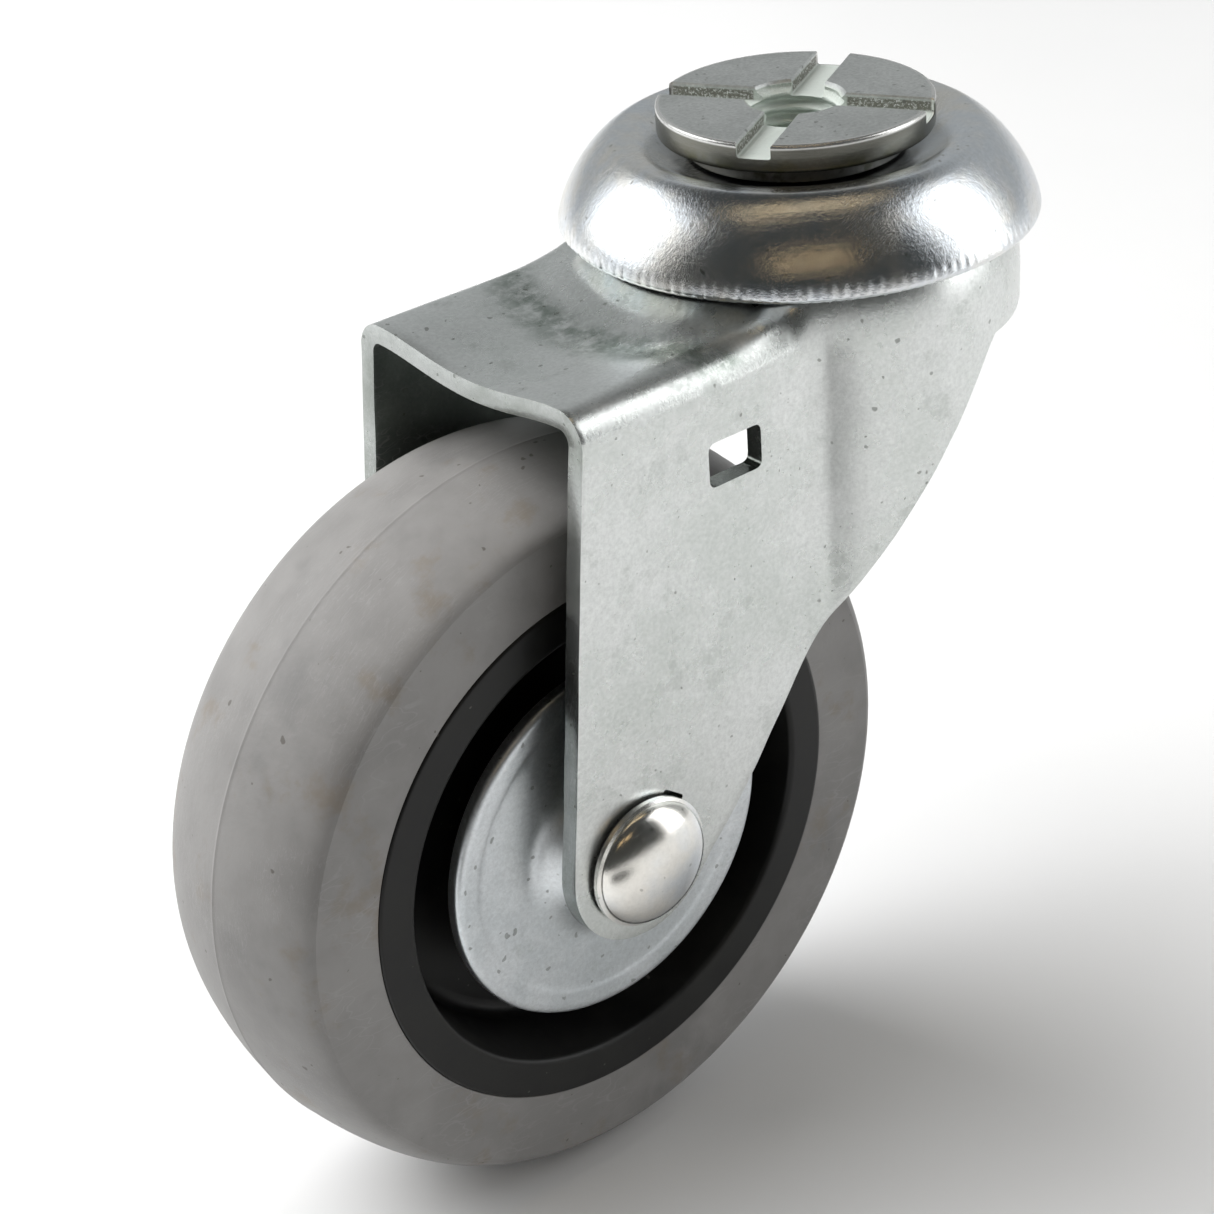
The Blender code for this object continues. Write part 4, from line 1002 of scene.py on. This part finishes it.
tyre_side = rounded([(SHOULDER_R_TYRE + 0.15, TREAD_HALF, 0.25), (INNER_R, TREAD_HALF, 0.08),
                     (INNER_R, RIB_HALF, 0.1), (RIB_R, RIB_HALF, 0.1), (RIB_R, -RIB_HALF, 0.1),
                     (INNER_R, -RIB_HALF, 0.1), (INNER_R, -TREAD_HALF, 0.08),
                     (SHOULDER_R_TYRE + 0.15, -TREAD_HALF, 0.25)], closed=False)
tyre = turned("tyre_moulded", np.concatenate([tread, tyre_side]), "Y", 220)
fit_out(tyre, "tyre", "wheel", "grey_rubber", rubber_of_tyre)

# %% [markdown]
# ## The hub
# The hub is a deep nylon moulding: a broad rim, a thin web and a boss for the bushes, with draft on its
# walls so that it leaves the mould. It could be a solid cylinder with pockets cut in it. A profile carried
# round says the same in seven corners, and the other half is the same list mirrored.

# %% Hub
RIM_INNER_R = 24.9
DRAFT = 1.4
WEB_HALF = 3.5
BOSS_LENGTH_HALF = 9.2
HUB_BOSS_R = 11.5
HUB_BORE_R = 8.95
GROOVE_HALF = 3.8
GROOVE_FLOOR_R = HUB_R - 1.6
hub_side = [
    (HUB_R, GROOVE_HALF, 0.1), (HUB_R, RIM_HALF, 0.35), (RIM_INNER_R, RIM_HALF, 0.5),
    (RIM_INNER_R - DRAFT, WEB_HALF, 1.4), (HUB_BOSS_R + 0.3, WEB_HALF, 1.2),
    (HUB_BOSS_R, BOSS_LENGTH_HALF, 0.3), (HUB_BORE_R, BOSS_LENGTH_HALF, 0.2)]
mirrored = [(r, -h, fillet) for r, h, fillet in hub_side[::-1]]
hub_profile = rounded([(GROOVE_FLOOR_R, GROOVE_HALF, 0.1), *hub_side, *mirrored,
                       (GROOVE_FLOOR_R, -GROOVE_HALF, 0.1)])
hub = turned("hub_moulded", hub_profile, "Y", 180)
fit_out(hub, "hub", "wheel", "black_nylon", nylon_of_hub)

# %% [markdown]
# ## The bushes
# A plain bush is pressed into each end of the hub's bore, and its flange takes the rub against the guard.
# Both are one profile, drawn once to the left and once to the right.

# %% Bushes
BUSH_BORE_R = 6.35
BUSH_R = 8.65
BUSH_FLANGE_R = 10.0
BUSH_START, BUSH_FLANGE, BUSH_END = 0.6, 9.5, 10.5
for side, name in ((-1, "left"), (1, "right")):
    outline = [(BUSH_BORE_R, side * BUSH_START, 0.15), (BUSH_R, side * BUSH_START, 0.15),
               (BUSH_R, side * BUSH_FLANGE, 0.1), (BUSH_FLANGE_R, side * BUSH_FLANGE, 0.15),
               (BUSH_FLANGE_R, side * BUSH_END, 0.25), (BUSH_BORE_R, side * BUSH_END, 0.3)]
    bush = turned(f"bush_moulded_{name}", rounded(outline), "Y", 96)
    fit_out(bush, f"hub_bush_{name}", "wheel", "white_acetal", acetal_of_bushes)

# %% [markdown]
# ## The thread guards
# The guards are pressed discs that keep thread and hair out of the bearing: a raised seat against the leg,
# a flat face beside the hub's rim and a rolled edge. A flat disc with a bump map would show a straight
# edge from the side, so the dish is drawn in the profile.

# %% Thread guards
GUARD_R = (guard_high[2] - guard_low[2]) / 2
GUARD_FACE = 12.1
GUARD_SEAT = 14.85
GUARD_SHEET = 1.0
GUARD_ROLL = 1.6
face, under = GUARD_FACE - 0.1, GUARD_FACE - GUARD_SHEET
guard_corners = [
    (AXLE_HOLE_R, GUARD_SEAT, 0.1), (7.5, GUARD_SEAT, 0.7), (9.7, face, 1.3),
    (GUARD_R - 3.0, face, 0.6), (GUARD_R - 2.4, GUARD_FACE, 0.5), (GUARD_R, GUARD_FACE, 1.6),
    (GUARD_R, GUARD_FACE - GUARD_ROLL, 0.2), (GUARD_R - GUARD_SHEET, GUARD_FACE - GUARD_ROLL, 0.2),
    (GUARD_R - GUARD_SHEET, under, 0.3), (9.2, GUARD_FACE - 1.1, 0.9),
    (7.0, GUARD_SEAT - GUARD_SHEET, 0.5), (AXLE_HOLE_R, GUARD_SEAT - GUARD_SHEET, 0.1)]
for side, name in ((-1, "left"), (1, "right")):
    guard_profile = rounded([(r, side * h, fillet) for r, h, fillet in guard_corners], steps=8)
    guard = turned(f"guard_pressed_{name}", guard_profile, "Y", 180)
    fit_out(guard, f"thread_guard_{name}", "fork_body", "guard_zinc", zinc_of_guards)

# %% [markdown]
# ## The axle bolt
# The bolt is upset and rolled: a shallow domed head on a thin flange, a nib under it that sits in the
# leg's notch, a plain shank, and a rolled thread at the far end. The dome's height follows sin^1.15 of the
# angle, a little flatter than a ball. Only the last 8 mm carry the thread, so only they get close rows.

# %% Axle bolt
AXLE_R = 4.0
HEAD_SEAT = -(LEG_OUTER + 0.3)
AXLE_END = span("axle_bolt")[1][1]
DOME_R = 6.65
DOME_BASE, DOME_RISE, DOME_FLATNESS = 0.75, 2.75, 1.15
FLANGE_R = 7.0
FLANGE_THICKNESS = 0.6
THREAD_LENGTH = 8.0
THREAD_ROWS = 60
AXLE_THREAD_DEPTH = 0.6
AXLE_THREAD_PITCH = 1.25
turn = np.linspace(0, math.pi / 2, 24)
dome_height = DOME_BASE + DOME_RISE * np.sin(turn) ** DOME_FLATNESS
head_profile = np.column_stack([DOME_R * np.cos(turn), HEAD_SEAT - dome_height])
head_edge = rounded([(AXLE_R, HEAD_SEAT, 0.1), (FLANGE_R, HEAD_SEAT, 0.15),
                     (FLANGE_R, HEAD_SEAT - FLANGE_THICKNESS, 0.25)], closed=False)
shank_end = np.array([(0.0, AXLE_END), (AXLE_R - 0.7, AXLE_END), (AXLE_R - 0.05, AXLE_END - 0.6)])
thread_rows = np.column_stack([np.full(THREAD_ROWS, AXLE_R),
                               np.linspace(AXLE_END - 0.65, AXLE_END - THREAD_LENGTH, THREAD_ROWS)])


def axle_thread(radius, height, turn):
    """Rows on the shank's threaded length move in by the thread's depth."""
    threaded = (np.abs(radius - AXLE_R) < 1e-6) & (height > AXLE_END - THREAD_LENGTH + 0.1)
    cut = AXLE_THREAD_DEPTH * thread_height(height, turn, AXLE_THREAD_PITCH)
    return np.where(threaded, radius - cut, radius), height


axle_profile = np.concatenate([shank_end, thread_rows, [(AXLE_R, HEAD_SEAT + 0.2)], head_edge, head_profile])
axle_profile[-1, 0] = 0.0
axle = turned("axle_bolt_headed", axle_profile, "Y", 120, axle_thread, closed=False)
nib = prism("nib", rounded([(0, -1.2, 0), (6.6, -1.2, 0.3), (6.6, 1.2, 0.3), (0, 1.2, 0)]),
            (HEAD_SEAT - 0.3, HEAD_SEAT + 1.7), nib_place)
carve(axle, [nib], "UNION")
fit_out(axle, "axle_bolt", "fork_body", "bright_zinc", zinc_of_axle)

# %% [markdown]
# ## The lock nut and its ring
# The nut is a hexagon with a round collar that holds a white ring. A hexagonal prism cut by a cone would
# need a Boolean. Here a round profile is carried round and each wide row is pulled in to six flats and
# back at its ends, which gives the curved corner chamfers that a real nut has.

# %% Lock nut
NUT_SEAT = LEG_OUTER + 0.3
NUT_END = NUT_SEAT + 8.0
HEX_TOP = NUT_SEAT + 5.8
FLAT_R = 6.5
CORNER_R = 7.55
COLLAR_R = 6.1
RING_SEAT_R = 5.5
RING_SEAT = NUT_END - 2.2
CHAMFER = math.tan(math.radians(30))


def hexagon(radius, height, turn):
    """Rows wider than the collar become six-sided, flat_r / cos(angle from a flat), and both of their
    ends are cut back by 30 degrees outside the flats' circle."""
    wide = radius > COLLAR_R + 0.2
    aside = np.abs(np.mod(turn, math.pi / 3) - math.pi / 6)
    hexed = np.minimum(FLAT_R / np.cos(aside), radius)
    beyond = np.maximum(hexed - FLAT_R * 0.99, 0) * CHAMFER
    middle = (NUT_SEAT + HEX_TOP) / 2
    pulled = np.where(height > middle, height - beyond, height + beyond)
    return np.where(wide, hexed, radius), np.where(wide, pulled, height)


seat_rows = [(r, NUT_SEAT) for r in (AXLE_HOLE_R, 4.8, 6.0, 6.4, 6.7, 7.1, CORNER_R)]
flat_rows = [(CORNER_R, NUT_SEAT + h) for h in (0.1, 1.0, 2.8, 3.0, 4.8, 5.7)]
top_rows = [(r, HEX_TOP) for r in (CORNER_R, 7.1, 6.7, 6.4)]
collar_rows = rounded([
    (COLLAR_R, HEX_TOP, 0.2), (COLLAR_R, NUT_END, 0.7), (RING_SEAT_R, NUT_END, 0.15),
    (RING_SEAT_R, RING_SEAT, 0.1), (AXLE_HOLE_R, RING_SEAT, 0.1)], closed=False)
nut_profile = np.concatenate([seat_rows, flat_rows, top_rows, collar_rows])
nut = turned("axle_nut_turned", nut_profile, "Y", 144, hexagon)
fit_out(nut, "axle_nut", "fork_body", "bright_zinc", zinc_of_axle)

# %% Ring in the nut
RING_R = 5.2
ring_outline = [(AXLE_HOLE_R, NUT_END - 1.9, 0.1), (RING_R, NUT_END - 1.9, 0.1),
                (RING_R, NUT_END - 0.3, 0.3), (AXLE_HOLE_R, NUT_END - 0.3, 0.2)]
ring = turned("lock_ring_moulded", rounded(ring_outline), "Y", 96)
fit_out(ring, "nut_lock_ring", "fork_body", "white_acetal", acetal_of_bushes)

# %% [markdown]
# ## The axle tube
# The bolt clamps the two guards on a steel tube, and the wheel turns on the tube. It is hidden in the
# bushes, so a plain ring with broken edges is enough.

# %% Axle tube
TUBE_END = span("axle_tube")[1][1]
TUBE_R = 6.0
tube_outline = [(AXLE_HOLE_R, -TUBE_END, 0.15), (TUBE_R, -TUBE_END, 0.2),
                (TUBE_R, TUBE_END, 0.2), (AXLE_HOLE_R, TUBE_END, 0.15)]
tube = turned("axle_tube_turned", rounded(tube_outline), "Y", 96)
fit_out(tube, "axle_tube", "fork_body", "turned_steel", steel_of_tube)

# %% [markdown]
# ## The balls
# Both rings are full of loose balls. Each ball is its own piece, a sphere on a small grid, put where the
# CAD has it, because each one travels round the pin. There are many, so each has only a few hundred faces.

# %% Balls
SPHERE_ROWS, SPHERE_STEPS = 15, 24
tilt = np.linspace(0, math.pi, SPHERE_ROWS)[:, None]
spin = np.linspace(0, 2 * math.pi, SPHERE_STEPS, endpoint=False)[None, :]
sphere = np.stack([np.sin(tilt) * np.cos(spin), np.sin(tilt) * np.sin(spin),
                   np.cos(tilt) + 0 * spin], axis=-1)
sphere_faces = grid_faces(SPHERE_ROWS, SPHERE_STEPS, wrap_columns=True).tolist()
ball_nodes = sorted(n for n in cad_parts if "_ball_" in n)
for node in ball_nodes:
    low, high = span(node)
    points = (low + high) / 2 + sphere * (high[2] - low[2]) / 2
    ball = piece_of(f"steel_{node}", mesh_of(f"steel_{node}", points, sphere_faces))
    ball.data.materials.append(steel_of_balls)
    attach(ball, node.split("_")[0] + "_ball_ring")
    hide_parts(node)
print("balls:", len(ball_nodes))

# %% [markdown]
# ## The lower race
# A pressed cup under the fork holds the lower balls, and the pin's peened foot holds the cup. Its groove is
# an arc of the same radius as the fork's, on a smaller circle.

# %% Lower race
race_low, race_high = span("lower_race")
RACE_R = race_high[0]
RACE_HOLE_R = 8.3
RACE_WALL = 1.5
race_top = race_low[2] + 1.95
LOWER_PITCH_R, LOWER_BALL_Z = 12.2, race_top + 2.23
turn = np.linspace(-0.55, 0.55, 9)
groove = np.column_stack([LOWER_PITCH_R + GROOVE_R * np.sin(turn), LOWER_BALL_Z - GROOVE_R * np.cos(turn)])
cup = rounded([
    (RACE_R - RACE_WALL, race_top, 0.3), (RACE_R - RACE_WALL, race_high[2], 0.4), (RACE_R, race_high[2], 0.5),
    (RACE_R, race_low[2], 1.0), (RACE_HOLE_R, race_low[2], 0.2)], closed=False)
race_profile = np.concatenate([[(RACE_HOLE_R, race_top)], groove, cup])
race = turned("lower_race_pressed", race_profile, steps=120)
fit_out(race, "lower_race", "head", "bright_zinc", zinc_of_cap)

# %% [markdown]
# ## Studio
# A white floor and two tall panels, as in a small light tent. Bright metal shows what stands round it, so
# the panels matter more than the lamps: they draw the white streaks down both sides of the cap, and the
# dark room between them, where the camera stands, draws its dark middle. The ceiling lamp and the front
# fill light the floor and the rubber but are kept out of the metal's reflections.

# %% Floor
FLOOR_HALF = 0.62
floor_z = cad_box[0].z


def flat_square(name, centre, half, height):
    """A square that lies flat: centre +- half at one height, in metres."""
    mesh = bpy.data.meshes.new(name)
    corners = [(centre[0] + x * half, centre[1] + y * half, height)
               for x, y in ((-1, -1), (1, -1), (1, 1), (-1, 1))]
    mesh.from_pydata(corners, [], [(0, 1, 2, 3)])
    return piece_of(name, mesh)


def pale_floor(tree, where):
    """White paper with hardly any change in it."""
    cloud = use(tree, clouds, Where=where, Scale=3.0)["Value"]
    white = blend_colour(tree, cloud, (0.74, 0.74, 0.74), (0.77, 0.77, 0.77))
    return {"Base Color": white, "Roughness": 0.9}


floor = flat_square("floor", (0.0, 0.0), FLOOR_HALF, floor_z)
floor.data.materials.append(finish("pale_floor", 0.0, pale_floor))
print("floor at", round(floor_z / MM, 2), "mm")

# %% Lights
AIM = Vector((-0.03, 0.0, -0.05))


def soft_light(name, place, size, radiance, colour=(1.0, 1.0, 1.0), mirrored=True):
    """A rectangular lamp turned towards the castor; its power is radiance times four times its area."""
    lamp = bpy.data.lights.new(name, "AREA")
    lamp.shape, lamp.size, lamp.size_y = "RECTANGLE", *size
    lamp.energy, lamp.color = 4 * size[0] * size[1] * radiance, colour
    thing = bpy.data.objects.new(name, lamp)
    thing.location = place
    thing.rotation_euler = (AIM - Vector(place)).to_track_quat("-Z", "Y").to_euler()
    thing.visible_glossy = mirrored
    bpy.context.scene.collection.objects.link(thing)
    return thing


soft_light("ceiling", (-0.30, 0.48, 0.78), (1.0, 1.0), 4.0, mirrored=False)
soft_light("left_panel", (-0.42, 0.50, 0.30), (0.62, 0.60), 1.3)
soft_light("right_panel", (0.50, -0.44, 0.24), (0.44, 0.75), 1.4)
soft_light("front_fill", (0.25, -0.75, 0.45), (0.8, 0.6), 0.35, mirrored=False)
soft_light("warm_lamp_left", (-0.37, -0.33, 0.31), (0.09, 0.04), 1.8, (1.0, 0.70, 0.36))
soft_light("warm_lamp_right", (-0.22, -0.42, 0.31), (0.09, 0.04), 1.8, (1.0, 0.70, 0.36))
soft_light("warm_strip_above", (-0.07, -0.09, 0.60), (0.55, 0.05), 1.3, (1.0, 0.80, 0.52))

# %% [markdown]
# ## Dark card
# A round cap and a domed bolt mirror the whole floor, and a floor that is white everywhere makes them look
# like chalk, so a black card lies in front of them. It could be left to a darker floor, but the floor has
# to stay white. Only reflections see the card, so it darkens the metal and neither shows nor shades.

# %% Dark card
CARD_HALF = 0.10
CARD_CENTRE = (-0.12, -0.155)
CARD_Z = floor_z + 0.001
BLACK_TO = 0.035


def faded_black(tree, where):
    """Black in the middle, fading with distance to the floor's white, so that no edge is mirrored."""
    away = put(tree, "VectorMath", where, (*CARD_CENTRE, CARD_Z), prop={"operation": "DISTANCE"})
    fade = band(tree, away.outputs["Value"], BLACK_TO, CARD_HALF - 0.01)
    shade = blend_colour(tree, fade, (0.02, 0.02, 0.02), (0.755, 0.755, 0.755))
    return {"Base Color": shade, "Roughness": 0.9}


card = flat_square("dark_card", CARD_CENTRE, CARD_HALF, CARD_Z)
card.visible_camera = False
card.visible_diffuse = False
card.visible_shadow = False
card.data.materials.append(finish("card_black", 0.0, faded_black))
print("card:", 2 * CARD_HALF, "m wide")

# %% [markdown]
# ## The room
# The room round the castor is dark where the camera stands and overhead, grey behind and white below. A
# plain grey world would be simpler but would light the metal from all sides alike, and it would lose its
# shape. The camera itself sees plain white: Light Path tells its rays from those that light the metal.

# %% Room
TOWARDS_CAMERA = (-0.62, -0.785, 0.0)
BEHIND, BESIDE_CAMERA = (0.40, 0.412, 0.415), (0.045, 0.047, 0.045)
OVERHEAD, BELOW, BACKGROUND = (0.05, 0.052, 0.052), (0.85, 0.85, 0.85), (0.97, 0.97, 0.97)
world = bpy.data.worlds.new("studio")
world.use_nodes = True
room = world.node_tree
looking = put(room, "TexCoord").outputs["Generated"]
toward = put(room, "VectorMath", looking, TOWARDS_CAMERA, prop={"operation": "DOT_PRODUCT"}).outputs["Value"]
rise = put(room, "SeparateXYZ", looking).outputs[2]
walls = blend_colour(room, band(room, toward, -0.25, 0.45), BEHIND, BESIDE_CAMERA)
walls = blend_colour(room, band(room, rise, 0.62, 0.88), walls, OVERHEAD)
walls = blend_colour(room, band(room, rise, -0.02, -0.10), walls, BELOW)
seen = put(room, "LightPath").outputs["Is Camera Ray"]
shown = blend_colour(room, seen, walls, BACKGROUND)
room.links.new(shown, room.nodes["Background"].inputs["Color"])
bpy.context.scene.world = world
bpy.context.scene.view_settings.view_transform = "Standard"
print("room:", len(room.nodes), "nodes")

# %% [markdown]
# ## Camera
# The camera looks down at the castor's front left. Its place follows from a direction, a distance and the
# point it aims at, and it is rolled a few degrees about its own view.

# %% Camera
CAMERA_AZIMUTH = math.radians(-38.3)
CAMERA_ELEVATION = math.radians(29.67)
CAMERA_ROLL = math.radians(-4.09)
CAMERA_DISTANCE = 280.76
CAMERA_LENS, SENSOR_WIDTH = 81.38, 36.0
CAMERA_AIM = Vector((-30.0, -1.765, -45.94))
back = Vector((math.sin(CAMERA_AZIMUTH) * math.cos(CAMERA_ELEVATION),
               -math.cos(CAMERA_AZIMUTH) * math.cos(CAMERA_ELEVATION), math.sin(CAMERA_ELEVATION)))
camera_data = bpy.data.cameras.new("camera")
camera_data.lens, camera_data.sensor_width = CAMERA_LENS, SENSOR_WIDTH
camera_data.clip_start, camera_data.clip_end = 0.01, 10.0
camera = bpy.data.objects.new("camera", camera_data)
upright = (-back).to_track_quat("-Z", "Y")
rolled = upright.to_matrix().to_4x4() @ Matrix.Rotation(CAMERA_ROLL, 4, "Z")
camera.matrix_world = Matrix.Translation((CAMERA_AIM + back * CAMERA_DISTANCE) * MM) @ rolled
bpy.context.scene.collection.objects.link(camera)
bpy.context.scene.camera = camera
print("camera at", tuple(round(v, 4) for v in camera.matrix_world.translation))
